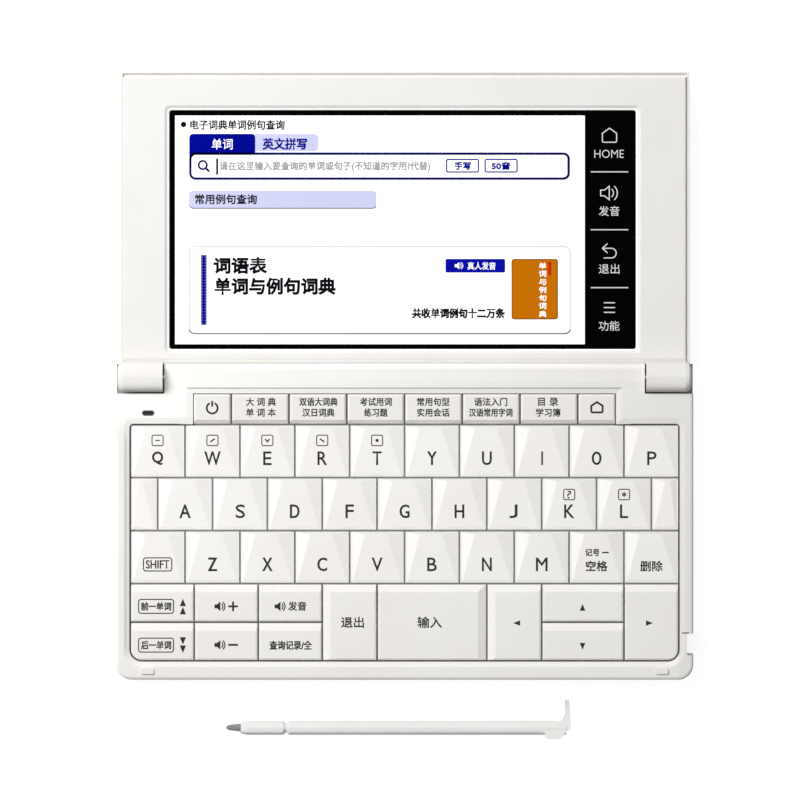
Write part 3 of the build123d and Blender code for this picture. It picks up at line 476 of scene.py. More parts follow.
# the key caps lay their pale edge colour over their sloped rims: a painted highlight
FACETED = dict(KEY_SATIN, edge_share=0.9, edge_mm=0.2, lean=0.9, lean_start=0.9, rim=0.8)
SEAM_TONE = (SEAM, (150, 148, 145))
moulded("pearl_case", *PEARL, tones=(SEAM_TONE,), **LACQUER)
# the deck paints light on the strip behind the keys, and shade on the slopes round the keys and low
# on the left slope; the half caps take the colour of the letter keys
moulded("pearl_deck", *PEARL, tones=(SEAM_TONE,), lean=0.8, lean_start=0.96, **LACQUER,
        paler=((LIT_SLOPES_PAINTED_SHADE, (231, 229, 225)), (LEFT_CREASE_PAINTED_SHADE, (216, 213, 209)),
               (DECK_PAINTED_LIGHT, (251, 250, 247)), (HALF_CAPS, (250, 247, 243))))
# the outside of the lid is darker: painted shade
moulded("pearl_cover", (238, 236, 232), (234, 231, 227), 0.42, lean=0.6,
        tones=((LID_BACK_PAINTED_SHADE, (222, 220, 216)),), **LACQUER)
moulded("pearl_bezel", (236, 234, 231), (232, 230, 226), 0.4,
        **dict(LACQUER, coat_roughness=0.22, bump_mm=0.0012))
moulded("keycap_plastic", (240, 238, 234), (237, 234, 230), 0.45, edge=(252, 251, 249), **FACETED)
moulded("letter_plastic", (249, 247, 243), (246, 243, 239), 0.45, edge=(254, 253, 251), **FACETED)
moulded("top_key_plastic", (237, 235, 231), (234, 231, 227), 0.45, edge=(244, 243, 240),
        edge_share=0.7, **KEY_SATIN)
moulded("stylus_plastic", (242, 241, 239), (238, 237, 235), 0.3, edge=(250, 250, 249),
        specular=0.25, coat=0.15, coat_roughness=0.2, bump_mm=0.001, dust=0.04, lean=0.7)
moulded("stylus_tip_nylon", (140, 140, 142), (128, 128, 130), 0.5, edge=(162, 162, 162), dust=0.05)
print(len(FINISHES), "finishes")

# %% Glass, printed colours and what lies behind
moulded("black_glass", (2, 2, 2), (1, 1, 1), 0.06, edge=(24, 26, 27), edge_share=0.6,
        edge_mm=0.1, specular=0.01, bump_mm=0.0, dust=0.0, smear=0.12, rough_spread=0.02)
moulded("display_back", (150, 152, 154), (132, 134, 137), 0.35, metallic=0.8, dust=0.1,
        grain=1.5, edge=(180, 182, 184))
moulded("pin_steel", (190, 190, 188), (170, 170, 168), 0.28, metallic=1.0, dust=0.0,
        grain=6.0, bump_mm=0.002, edge=(220, 220, 218))
moulded("foot_rubber", (58, 58, 58), (44, 44, 44), 0.8, bump_mm=0.02, dust=0.35, grain=3.0,
        edge=(80, 80, 80))
moulded("mat_silicone", (240, 238, 233), (232, 230, 225), 0.6, bump_mm=0.006, dust=0.0)
# the webs between the keys: grey, darker than the mat, as painted shade in the gaps
moulded("gap_web_painted_shade", (140, 138, 134), (134, 132, 128), 0.6, bump_mm=0.003, dust=0.0)
moulded("board_laminate", (24, 92, 58), (16, 74, 46), 0.35, coat=0.5, bump_mm=0.01,
        grain=1.8, dust=0.15, edge=(190, 170, 110))
moulded("battery_film", (150, 154, 158), (126, 130, 134), 0.4, metallic=0.6, grain=1.0,
        bump_mm=0.02, dust=0.1)
moulded("speaker_frame", (40, 40, 42), (28, 28, 30), 0.55, bump_mm=0.008, dust=0.2,
        edge=(90, 90, 92))
# a dark grey for lines of painted shade
moulded("line_shade", (92, 90, 87), (84, 82, 80), 0.6, bump_mm=0.002, dust=0.0, edge_share=0.0)
moulded("legend_ink", (20, 20, 21), (14, 14, 15), 0.6, bump_mm=0.002, dust=0.05, edge_share=0.0)
print(len(FINISHES), "finishes")

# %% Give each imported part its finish
FINISH_OF_SLOT = {
    "case": "pearl_case", "bezel": "pearl_bezel", "keycap": "keycap_plastic",
    "glass": "black_glass", "display": "display_back", "steel": "pin_steel",
    "rubber": "foot_rubber", "mat": "mat_silicone", "board": "board_laminate",
    "battery": "battery_film", "sound": "speaker_frame", "stylus": "stylus_plastic",
    "stylus_tip": "stylus_tip_nylon",
}
LETTER_ROWS = (*string.ascii_lowercase, "shift", "space", "delete")
FINISH_OF_NODE = {
    "lid_outer_cover": "pearl_cover", "base_top_frame": "pearl_deck",
    **{"key_" + key: "letter_plastic" for key in LETTER_ROWS},
    **{node: "top_key_plastic" for node in ("key_power", "function_keys", "key_home")},
}
for name, node in NODES.items():
    for packed in node.material_slots:
        by_slot = FINISH_OF_SLOT[packed.material.name.split(".")[0]]
        packed.material = FINISHES[FINISH_OF_NODE.get(name, by_slot)]
print(len(NODES), "packed parts have their finish")

# %% [markdown]
# ## Flat shapes for legends and screen
# Legends are thin films of ink, and what the screen shows can be built the same way.  Each is
# drawn flat, in millimetres, then laid on the surface below it and given a thickness, so that it
# is a closed little solid.  Strokes of one film may cross, so each stroke is a hair thicker than
# the one before, and no two of their faces lie in the same place.  Letters come from the font
# inside Blender; icons are drawn with a pen of a given width.

# %% Pen strokes and outlines
ARC_STEP = math.radians(15)
SHARPEST_TURN = 0.35  # keeps the mitre of a very sharp corner short


def arc(x, y, r, start, stop):
    """Points on a circle from one angle to another, in degrees."""
    first, last = math.radians(start), math.radians(stop)
    count = max(2, round(abs(last - first) / ARC_STEP))
    turns = [first + (last - first) * i / count for i in range(count + 1)]
    return [(x + r * math.cos(a), y + r * math.sin(a)) for a in turns]


def disc(x, y, r):
    """A filled circle."""
    return arc(x, y, r, 0, 360)[:-1]


def rounded_box(x, y, width, height, r):
    """The outline of a rectangle with round corners, about its centre."""
    half_w, half_h = width / 2 - r, height / 2 - r
    points = []
    for sx, sy, start in ((1, 1, 0), (-1, 1, 90), (-1, -1, 180), (1, -1, 270)):
        corner_x, corner_y = x + sx * half_w, y + sy * half_h
        points += arc(corner_x, corner_y, r, start, start + 90) if r else [(corner_x, corner_y)]
    return points


def pen(points, width, closed=False):
    """A stroke of a round-cornered pen along points, as one list of small four-sided faces."""
    count = len(points)
    sides = []
    for i, (x, y) in enumerate(points):
        before = points[i - 1] if closed or i else points[i]
        after = points[(i + 1) % count] if closed or i < count - 1 else points[i]
        one = Vector((x - before[0], y - before[1]))
        two = Vector((after[0] - x, after[1] - y))
        one = one.normalized() if one.length else two.normalized()
        two = two.normalized() if two.length else one
        along = (one + two).normalized()
        reach = width / 2 / max(SHARPEST_TURN, along.dot(one))
        dx, dy = -along.y * reach, along.x * reach
        sides.append(((x + dx, y + dy), (x - dx, y - dy)))
    ends = sides[1:] + sides[:1] if closed else sides[1:]
    return [[a[1], b[1], b[0], a[0]] for a, b in zip(sides, ends)]


def frame_of(x, y, width, height, r, line):
    """A drawn rectangle with round corners, its outer size given."""
    middle = rounded_box(x, y, width - line, height - line, max(r - line / 2, 0.05))
    return pen(middle, line, closed=True)


def bar(x, y, width, height):
    """A plain filled rectangle about its centre."""
    return [rounded_box(x, y, width, height, 0)]


def move(faces, dx, dy):
    """Flat faces shifted by dx and dy."""
    return [[(x + dx, y + dy) for x, y in face] for face in faces]


print("a pen stroke has", len(pen(arc(0, 0, 1, 0, 90), 0.3)), "faces in a quarter turn")

# %% [markdown]
# The built-in font has one weight, and a letter squeezed to its printed width would lose stroke
# in one direction only.  So the strokes are corrected: every corner of a letter lies on its
# outline, and moving the corners outwards or inwards by half the missing width gives each stroke
# the printed weight.

# %% Corners of a flat shape and the way outwards at each
MITRE_LIMIT = 2.2
TINY = 0.01


def outward_moves(points, faces):
    """For each point on the outline of flat faces, the way that moves both its sides out by one."""
    sides = {}
    for face in faces:
        area = sum(points[a][0] * points[b][1] - points[b][0] * points[a][1]
                   for a, b in zip(face, face[1:] + face[:1]))
        turned = face if area > 0 else face[::-1]
        for a, b in zip(turned, turned[1:] + turned[:1]):
            sides[a, b] = True
    normals = {}
    for a, b in sides:
        if (b, a) not in sides:
            along = Vector((points[b][0] - points[a][0], points[b][1] - points[a][1])).normalized()
            for end in (a, b):
                normals.setdefault(end, []).append(Vector((along.y, -along.x)))
    moves = {}
    for point, found in normals.items():
        total = sum(found, Vector((0, 0)))
        if len(found) == 2 and total.length > TINY:
            middle = total.normalized()
            moves[point] = middle * min(MITRE_LIMIT, 1 / max(middle.dot(found[0]), TINY))
    return moves


square = outward_moves([(0, 0), (1, 0), (1, 1), (0, 1)], [[0, 1, 2, 3]])
print("a square corner moves out by", [round(v, 2) for v in square[2]])

# %% Letters from the built-in font
LATIN_STROKE = (0.098, 0.088)  # width of upright and level strokes at font size 1
CHINESE_STROKE = (0.070, 0.058)
FIRST_CHINESE = "\u2fff"
FONT_WELD = 0.0005
CURVE_STEPS = 3


def words(text, x, y, height, width=None, stroke=None):
    """Flat faces of a text with a given height, width and stroke, about its centre."""
    curve = bpy.data.curves.new("words", "FONT")
    curve.body = text
    curve.resolution_u = CURVE_STEPS
    holder = bpy.data.objects.new("words", curve)
    scene.collection.objects.link(holder)
    bpy.context.view_layer.update()
    shaped = holder.evaluated_get(bpy.context.evaluated_depsgraph_get())
    flat = bpy.data.meshes.new_from_object(shaped)
    tidy = bmesh.new()
    tidy.from_mesh(flat)
    bmesh.ops.remove_doubles(tidy, verts=tidy.verts, dist=FONT_WELD)
    tidy.verts.index_update()
    points = [(v.co.x, v.co.y) for v in tidy.verts]
    faces = [[v.index for v in face.verts] for face in tidy.faces]
    tidy.free()
    bpy.data.objects.remove(holder)
    bpy.data.curves.remove(curve)
    bpy.data.meshes.remove(flat)
    low_x, high_x = min(p[0] for p in points), max(p[0] for p in points)
    low_y, high_y = min(p[1] for p in points), max(p[1] for p in points)
    tall = height / (high_y - low_y)
    wide = width / (high_x - low_x) if width else tall
    grow_x = grow_y = 0.0
    if stroke:
        upright, level = CHINESE_STROKE if max(text) > FIRST_CHINESE else LATIN_STROKE
        grow_x, grow_y = (stroke - upright * wide) / 2, (stroke - level * tall) / 2
        wide = wide - 2 * grow_x / (high_x - low_x)
        tall = tall - 2 * grow_y / (high_y - low_y)
    centre_x, centre_y = (low_x + high_x) / 2, (low_y + high_y) / 2
    laid = [(wide * (px - centre_x), tall * (py - centre_y)) for px, py in points]
    moves = outward_moves(laid, faces) if stroke else {}
    for index, way in moves.items():
        laid[index] = (laid[index][0] + grow_x * way.x, laid[index][1] + grow_y * way.y)
    return [[(x + laid[i][0], y + laid[i][1]) for i in face] for face in faces]


print("the word SHIFT has", len(words("SHIFT", 0, 0, 2, stroke=0.3)), "faces")

# %% Turn flat faces into a thin solid that lies on a surface
LONGEST_EDGE, CUTS = 0.9, 2  # a longer edge is cut, so that the film can follow a slope
WELD, SLIVER = 0.002, 0.001  # corners closer than this are one; edges shorter than this go
SUNK = 0.03
STAGGER = 0.0008
STAGGER_STEPS = 9
RAY_START = 30  # above every part, mm


def surface_of(name):
    """A function that gives the height, in mm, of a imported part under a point."""
    mesh = bmesh.new()
    mesh.from_mesh(NODES[name].data)
    part = BVHTree.FromBMesh(mesh)
    mesh.free()

    def height(x, y):
        return part.ray_cast(mm(x, y, RAY_START), Vector(DOWN))[0].z / MM

    return height


def islands(mesh):
    """The connected pieces of a mesh, each as a list of its corners."""
    unseen = set(mesh.verts)
    found = []
    for first in mesh.verts:
        if first not in unseen:
            continue
        unseen.discard(first)
        island = [first]
        for vert in island:  # the list grows while it is walked through
            for edge in vert.link_edges:
                other = edge.other_vert(vert)
                if other in unseen:
                    unseen.discard(other)
                    island.append(other)
        found.append(island)
    return found


def add_piece(name, work, body, finish):
    """Turn a finished bmesh into a piece of the model that rides on a body."""
    bmesh.ops.recalc_face_normals(work, faces=work.faces)
    mesh = bpy.data.meshes.new(name)
    work.to_mesh(mesh)
    work.free()
    mesh.materials.append(FINISHES[finish])
    piece = bpy.data.objects.new(name, mesh)
    scene.collection.objects.link(piece)
    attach(piece, body)


def lay_film(name, faces, height, thick, body, finish, origin=(0, 0)):
    """One closed film, `thick` mm thick: faces moved to `origin`, laid at a height or a surface."""
    work = bmesh.new()
    for face in faces:
        corners = [work.verts.new((x + origin[0], y + origin[1], 0)) for x, y in face]
        work.faces.new(corners)
    bmesh.ops.remove_doubles(work, verts=work.verts, dist=WELD)
    bmesh.ops.dissolve_degenerate(work, dist=SLIVER, edges=work.edges)
    bmesh.ops.triangulate(work, faces=work.faces)
    long_edges = [e for e in work.edges if e.calc_length() > LONGEST_EDGE]
    if long_edges and callable(height):
        bmesh.ops.subdivide_edges(work, edges=long_edges, cuts=CUTS)
        bmesh.ops.triangulate(work, faces=work.faces)
    for face in work.faces:
        if face.normal.z < 0:
            face.normal_flip()
    raised = bmesh.ops.extrude_face_region(work, geom=list(work.faces))
    upper = {item for item in raised["geom"] if isinstance(item, bmesh.types.BMVert)}
    for number, island in enumerate(islands(work)):
        rise = thick + STAGGER * (number % STAGGER_STEPS)
        for vert in island:
            ground = height(vert.co.x, vert.co.y) if callable(height) else height
            vert.co.z = ground + (rise if vert in upper else -SUNK)
            vert.co *= MM
    add_piece(name, work, body, finish)


print("films sink", SUNK, "mm into what carries them")

# %% [markdown]
# ## Legends on the keys
# The letters are narrow and of even stroke, so each gets its own width.  A letter stands below
# the middle of its cap, and seven caps carry a small boxed sign above it.

# %% Letter keys
INK = 0.02  # thickness of printed ink, mm
LETTER_HEIGHT = 3.53
LETTER_DROP = -1.85
LETTER_ASIDE = {"I": 0.1, "J": -0.25, "P": 0.1, "S": 0.1}
LETTER_STROKE = 0.57
LETTER_WIDTHS = {
    "Q": 2.9, "W": 4.2, "E": 2.15, "R": 2.45, "T": 2.45, "Y": 2.45, "U": 2.55, "I": 0.44, "O": 2.55,
    "P": 2.4, "A": 2.9, "S": 2.45, "D": 2.5, "F": 2.15, "G": 2.6, "H": 2.5, "J": 2.15, "K": 2.6,
    "L": 2.1, "Z": 2.37, "X": 2.6, "C": 2.55, "V": 2.8, "B": 2.45, "N": 2.55, "M": 3.0,
}
SIGN_RISE, SIGN_RISE_LOWER_ROW = 2.75, 2.48
SIGN_FRAME = (3.1, 2.95, 0.55, 0.25)  # width, height, corner, line
SIGNS = {
    "Q": pen([(-0.62, 0), (0.62, 0)], 0.26),
    "W": pen([(-0.55, -0.38), (0.6, 0.42)], 0.36),
    "E": pen([(-0.58, 0.36), (0, -0.34), (0.58, 0.36)], 0.34),
    "R": pen([(-0.6, 0.42), (0.55, -0.38)], 0.36),
    "T": [disc(0, 0, 0.42)],
    "K": words("?", 0, 0, 2.0, 1.15, stroke=0.3),
    "L": pen([(0, -0.66), (0, 0.66)], 0.26) + pen([(-0.57, -0.33), (0.57, 0.33)], 0.26)
    + pen([(-0.57, 0.33), (0.57, -0.33)], 0.26),
}


def outline_of(*nodes):
    """Left, right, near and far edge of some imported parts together, in mm."""
    lows, highs = zip(*(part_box(node) for node in nodes))
    return (min(low.x for low in lows) / MM, max(high.x for high in highs) / MM,
            min(low.y for low in lows) / MM, max(high.y for high in highs) / MM)


def centre_of(node):
    """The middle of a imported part, seen from above, in mm."""
    left, right, near, far = outline_of(node)
    return (left + right) / 2, (near + far) / 2


def print_legend(name, faces):
    """Lay a legend, drawn about the middle of a key, on that key."""
    key = "key_" + name
    lay_film("legend_" + name, faces, surface_of(key), INK, key + "_body", "legend_ink",
             centre_of(key))


for letter, width in LETTER_WIDTHS.items():
    aside = LETTER_ASIDE.get(letter, 0)
    faces = words(letter, aside, LETTER_DROP, LETTER_HEIGHT, width, LETTER_STROKE)
    if letter in SIGNS:
        rise = SIGN_RISE_LOWER_ROW if letter in "KL" else SIGN_RISE
        faces += frame_of(0, rise, *SIGN_FRAME) + move(SIGNS[letter], 0, rise)
    print_legend(letter.lower(), faces)
print(len(LETTER_WIDTHS), "letters,", len(SIGNS), "small signs")

# %% Icons
def speaker_icon(x, y, size, line=0.3):
    """A loudspeaker cone with two sound waves, `size` high; the numbers are shares of that size."""
    cone = [(-0.62, -0.2), (-0.36, -0.2), (0, -0.5), (0, 0.5), (-0.36, 0.2), (-0.62, 0.2)]
    faces = [[(x + px * size, y + py * size) for px, py in cone]]
    for radius in (0.36, 0.58):
        faces += pen(arc(x - 0.1 * size, y, radius * size, -52, 52), line)
    return faces


def triangle(x, y, width, height, turn=0):
    """A solid arrowhead that points up, or is turned by an angle in degrees."""
    points = [(-width / 2, -height / 2), (width / 2, -height / 2), (0, height / 2)]
    c, s = math.cos(math.radians(turn)), math.sin(math.radians(turn))
    return [[(x + c * px - s * py, y + s * px + c * py) for px, py in points]]


def house_icon(x, y, width, height, line, corner=0.35):
    """The outline of a house with a pitched roof."""
    half, low, eave = (width - line) / 2, (line - height) / 2, 0.12 * height
    walls = [(-half, eave), (0, (height - line) / 2), (half, eave)]
    foot = (arc(half - corner, low + corner, corner, 0, -90)
            + arc(-half + corner, low + corner, corner, -90, -180))
    return pen([(x + px, y + py) for px, py in walls + foot], line, closed=True)


print("icons: speaker, triangle, house")

# %% Other keys: offsets are from the middle of each cap
PLUS = pen([(-1.25, 0), (-0.25, 0)], 0.5) + pen([(0.25, 0), (1.25, 0)], 0.5) + bar(0, 0, 0.5, 2.5)
MINUS = bar(0, 0, 2.5, 0.5)
BOX_CORNER, BOX_LINE = 0.75, 0.27
SMALL, MEDIUM, LARGE = 0.25, 0.29, 0.33  # strokes of the Chinese words


def boxed(text, x, y, width, height, text_width, text_height, stroke):
    """A word in a rounded frame."""
    inside = words(text, x, y, text_height, text_width, stroke)
    return frame_of(x, y, width, height, BOX_CORNER, BOX_LINE) + inside


KEY_LEGENDS = {
    "shift": boxed("SHIFT", 0, -1.86, 7.55, 3.65, 6.1, 2.2, 0.36),
    "space": words("记号", -1.1, 1.2, 1.9, 3.7, SMALL) + bar(2.25, 1.2, 1.75, 0.36)
    + words("空格", 0.0, -2.28, 2.75, 5.6, LARGE),
    "delete": words("删除", 0.0, -2.28, 2.75, 5.8, LARGE),
    "previous": boxed("前一单词", -1.57, -0.87, 9.25, 3.85, 7.8, 2.2, MEDIUM)
    + triangle(5.33, 0.15, 1.6, 1.92) + triangle(5.33, -1.97, 1.6, 1.92),
    "next": boxed("后一单词", -1.57, -0.92, 9.25, 3.85, 7.8, 2.2, MEDIUM)
    + triangle(5.33, 0.17, 1.6, 1.92, 180) + triangle(5.33, -1.97, 1.6, 1.92, 180),
    "volume_up": speaker_icon(-1.5, -0.87, 2.45) + move(PLUS, 1.77, -0.87),
    "volume_down": speaker_icon(-1.5, -0.87, 2.45) + move(MINUS, 1.77, -0.85),
    "voice": speaker_icon(-2.5, -0.87, 2.45) + words("发音", 1.82, -0.8, 2.4, 4.7, MEDIUM),
    "history": words("查询记录/全", 0.1, -0.93, 2.4, 10.95, MEDIUM),
    "back": words("退出", 0.73, 0.0, 2.85, 5.9, LARGE),
    "enter": words("输入", -0.6, 0.0, 2.95, 6.3, LARGE),
    "left": triangle(0.6, -0.2, 1.4, 1.8, 90),
    "up": triangle(-0.1, -1.12, 1.45, 1.75),
    "down": triangle(-0.1, -1.22, 1.45, 1.75, 180),
    "right": triangle(-0.53, -0.2, 1.4, 1.8, -90),
    "power": pen(arc(0, 0.25, 1.4, 116, 424), 0.48) + bar(0, 1.35, 0.48, 1.5),
    "home": house_icon(0, 0.45, 3.4, 3.15, 0.5),
}
for key, faces in KEY_LEGENDS.items():
    print_legend(key, faces)
print(len(KEY_LEGENDS), "more keys are printed")

# %% The six wide keys of the top row
WIDE_KEYS = [
    ("大 词 典", 7.7, "单 词 本", 7.7), ("双语大词典", 9.9, "汉日词典", 8.3),
    ("考试用词", 8.2, "练习题", 6.0), ("常用句型", 8.4, "实用会话", 8.4),
    ("语法入门", 8.5, "汉语常用字词", 11.2), ("目 录", 5.2, "学习簿", 6.4),
]
WIDE_HEIGHT = 2.15
WIDE_RISE, WIDE_DROP = 1.85, -0.9
left, right, near, far = outline_of("function_keys")
pitch = (right - left) / len(WIDE_KEYS)
row_y = (near + far) / 2
faces = []
for place, (upper, upper_width, lower, lower_width) in enumerate(WIDE_KEYS):
    x = left + pitch * (place + 0.5)
    faces += words(upper, x, row_y + WIDE_RISE, WIDE_HEIGHT, upper_width, SMALL)
    faces += words(lower, x, row_y + WIDE_DROP, WIDE_HEIGHT, lower_width, SMALL)
lay_film("legend_wide_keys", faces, surface_of("function_keys"), INK, "function_keys_body",
         "legend_ink")
print("wide keys, mm apart:", round(pitch, 2))

# %% [markdown]
# ## What the screen shows
# A dictionary page: a search field, a result card and a strip of touch buttons.  Every colour is
# its own thin film on the glass.  Films that lie over others are a little thicker, like layers of
# print.

# %% Screen colours
CLOUD_STEP = 3  # how much darker the second shade is
SCREEN_COLOURS = {  # shade and glow
    "white": ((250, 250, 250), 0.25), "soft": ((226, 226, 226), 0.03),
    "navy": ((0, 8, 140), 0.04), "deep": ((8, 10, 92), 0.0), "blue": ((8, 12, 158), 0.06),
    "lavender": ((198, 200, 231), 0.12), "text": ((10, 10, 18), 0.0),
    "grey": ((156, 157, 161), 0.1), "line": ((205, 207, 210), 0.1),
    "shade": ((140, 143, 148), 0.05), "orange": ((195, 110, 2), 0.05),
    "brown": ((140, 78, 14), 0.03), "red": ((206, 40, 16), 0.05),
}
for name, (shade, glow) in SCREEN_COLOURS.items():
    moulded("screen_" + name, shade, [max(0, v - CLOUD_STEP) for v in shade], 0.3, edge_share=0.0,
            specular=0.03, bump_mm=0.0, dust=0.0, glow=glow, grain=8.0, smear=0.08)
print(len(SCREEN_COLOURS), "screen colours")

# %% Lay out the page, in mm from the upper left corner of the lit area
PAGE_LEFT, PAGE_TOP = -59.37, 106.54
PAGE_SIZE = (105.86, 59.1)
GLASS_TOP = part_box("touch_glass")[1].z / MM
LAYER = 0.012
print("the glass lies at", round(GLASS_TOP, 2), "mm")


def box_at(left, top, right, bottom, r=0.0):
    """A filled rectangle given by its edges, measured down from the top."""
    return [rounded_box((left + right) / 2, -(top + bottom) / 2, right - left, bottom - top, r)]


def frame_at(left, top, right, bottom, r, line):
    """A drawn rectangle given by its outer edges."""
    return frame_of((left + right) / 2, -(top + bottom) / 2, right - left, bottom - top, r, line)


def under_edge(left, right, bottom, r, line):
    """The lower edge of a rounded box with its two corners, as a soft drop shadow shows it."""
    y = line / 2 - bottom
    return pen(arc(left + r, y + r, r, 200, 270) + arc(right - r, y + r, r, 270, 340), line)


def text_at(text, left, top, bottom, right, stroke):
    """A line of text that fills the space between four edges."""
    return words(text, (left + right) / 2, -(top + bottom) / 2, bottom - top, right - left, stroke)


# %% The page: a heading, two tabs, a search field and a bar
heading = [disc(2.38, -2.42, 0.72)] + text_at("电子词典单词例句查询", 4.1, 1.25, 3.8, 28.45, 0.3)
tab_open = [
    [(3.88, -13.0)] + arc(4.88, -5.85, 1.0, 180, 90) + arc(19.88, -5.85, 1.0, 90, 0)
    + [(20.88, -10.4), (5.78, -10.4), (5.78, -13.0)]
]
tab_other = box_at(18.5, 4.9, 37.07, 9.35, 1.0)
search_frame = frame_at(3.85, 9.65, 102.0, 16.7, 1.65, 0.62)
search_lens = (pen(arc(7.35, -12.9, 1.06, 0, 345), 0.5, closed=True)
               + pen([(8.15, -13.7), (9.05, -14.6)], 0.56))
search_hint = text_at("请在这里输入要查询的单词或句子(不知道的字用?代替)", 11.6, 11.95, 14.6, 66.0, 0.3)
small_buttons = []
for word, left, right, word_left, word_right in (
    ("手写", 70.05, 78.6, 72.2, 76.5), ("50音", 79.98, 88.55, 81.8, 86.7),
):
    small_buttons += frame_at(left, 11.27, right, 14.85, 0.6, 0.34)
    small_buttons += text_at(word, word_left, 12.05, 14.15, word_right, 0.36)
bar_text = text_at("常用例句查询", 5.35, 20.4, 23.0, 21.3, 0.31)

# %% The result card with a plain book cover
CARD = (3.69, 33.8, 102.2, 56.5)
HATCH_STEPS, HATCH_PITCH = 24, 0.74
stripe_hatch = []
for step in range(HATCH_STEPS):
    y = -36.5 - HATCH_PITCH * step
    stripe_hatch += pen([(7.0, y - 0.3), (7.35, y)], 0.1) + pen([(7.9, y - 0.3), (8.25, y)], 0.1)
titles = (text_at("词语表", 10.13, 36.65, 40.95, 23.9, 0.66)
          + text_at("单词与例句词典", 10.3, 41.9, 46.35, 41.6, 0.66))
source_line = text_at("共收单词例句十二万条", 61.3, 49.8, 52.4, 85.25, 0.41)
voice_button = speaker_icon(73.5, -38.85, 1.9, 0.18) + text_at("真人发音", 75.6, 37.9, 39.9, 82.9, 0.21)
cover_title = []
for place, letter in enumerate("单词与例句词典"):
    cover_title += words(letter, 94.98, -38.87 - 2.07 * place, 1.65, 1.95, 0.23)

# %% The strip of touch buttons beside the page
STRIP_X = 112.12
THIN, WORD_THIN = 0.27, 0.2
cone = [(109.95, -19.35), (110.95, -19.35), (112.15, -18.35), (112.15, -21.85), (110.95, -20.85),
        (109.95, -20.85)]
bend = [(110.6, -34.35), (112.7, -34.35)] + arc(112.7, -35.6, 1.25, 90, -90) + [(110.7, -36.85)]


def strip_word(text, y):
    """A word of two signs under its icon."""
    return words(text, STRIP_X, y, 2.55, 5.35, WORD_THIN)


strip = (
    house_icon(STRIP_X + 0.1, -5.2, 3.95, 3.9, THIN) + words("HOME", STRIP_X, -10.0, 2.1, 7.6, 0.23)
    + pen(cone, THIN, closed=True) + pen(arc(111.85, -20.1, 1.4, -48, 48), THIN)
    + pen(arc(111.85, -20.1, 2.4, -48, 48), THIN) + strip_word("发音", -24.75)
    + pen(bend, THIN) + pen([(111.7, -33.15), (110.4, -34.35), (111.7, -35.55)], THIN)
    + strip_word("退出", -39.65)
    + box_at(110.75, 48.26, 113.65, 48.54) + box_at(110.75, 49.5, 113.65, 49.78)
    + box_at(110.75, 50.74, 113.65, 51.02) + strip_word("功能", -54.35)
)
strip_lines = []
for y in (14.5, 29.43, 44.36):
    strip_lines += box_at(107.4, y, 117.05, y + 0.3)

# %% Every colour of the page is one film; a higher layer lies over a lower one
page = {
    ("white", 1): box_at(0.2, 0.12, *PAGE_SIZE),
    ("lavender", 2): tab_other + box_at(3.75, 19.5, 52.1, 24.1, 1.0),
    ("line", 2): frame_at(*CARD, 1.55, 0.3),
    ("grey", 5): search_hint,
    ("shade", 3): under_edge(3.69, 102.25, 56.55, 1.55, 0.42)
    + under_edge(3.92, 52.1, 24.2, 1.0, 0.3),
    ("navy", 3): tab_open + box_at(6.91, 36.1, 8.33, 54.1)
    + text_at("英文拼写", 22.75, 5.92, 8.97, 34.25, 0.44),
    ("deep", 3): search_frame,
    ("deep", 5): search_lens,
    ("blue", 3): box_at(69.94, 37.1, 85.3, 40.6, 0.4),
    ("navy", 5): small_buttons,
    ("text", 4): heading + bar_text + titles + source_line,
    ("text", 5): box_at(10.8, 11.2, 11.32, 15.38),
    ("lavender", 4): stripe_hatch,
    ("white", 4): text_at("单词", 9.68, 6.1, 8.92, 15.05, 0.25) + voice_button
    + box_at(4.45, 10.3, 101.35, 16.1, 1.1),
    ("brown", 3): box_at(86.96, 37.1, 98.92, 52.7, 0.7),
    ("orange", 4): box_at(87.2, 37.34, 98.68, 52.46, 0.5),
    ("white", 5): cover_title,
    ("red", 5): box_at(96.35, 37.9, 97.2, 41.2) + box_at(94.0, 45.2, 94.3, 45.9),
    ("soft", 2): strip,
    ("line", 3): strip_lines,
}
for (colour, layer), faces in page.items():
    lay_film(f"screen_{colour}_{layer}", faces, GLASS_TOP, LAYER * layer, "lid",
             "screen_" + colour, (PAGE_LEFT, PAGE_TOP))
print(len(page), "films on the glass")

# %% [markdown]
# ## Fine rims
# Where the lid's sloped border meets the glass, the moulding ends in a narrow line that catches the
# light.  A pale film on the border, which glows a little, paints that highlight.  The two half caps
# that belong to the housing need a rim along their outer side, so that they close against the wall
# of the key window; a small bar with a sloped top does that.

# %% A painted highlight where the sloped border meets the glass
RIM_OUT, RIM_WIDTH, RIM_CORNER = 0.62, 0.46, 1.0
left, right, near, far = outline_of("touch_glass")
width, depth = right - left + 2 * RIM_OUT, far - near + 2 * RIM_OUT
glass_rim_highlight = frame_of(*centre_of("touch_glass"), width, depth, RIM_CORNER, RIM_WIDTH)
# a pale, glowing film on the border: a painted highlight
lay_film("glass_rim_highlight", glass_rim_highlight, surface_of("lid_bezel"), INK, "lid", "screen_white")
print("the rim is", RIM_WIDTH, "mm wide")

# %% Rims of the two fixed half caps
def prism(name, profile, near, far, body, finish):
    """A closed bar along y with the given outline in x and z, all in mm."""
    work = bmesh.new()
    ends = [[work.verts.new(mm(x, y, z)) for x, z in profile] for y in (near, far)]
    work.faces.new(ends[0])
    work.faces.new(ends[1][::-1])
    for i in range(len(profile)):
        work.faces.new((ends[0][i], ends[0][i - 1], ends[1][i - 1], ends[1][i]))
    add_piece(name, work, body, finish)


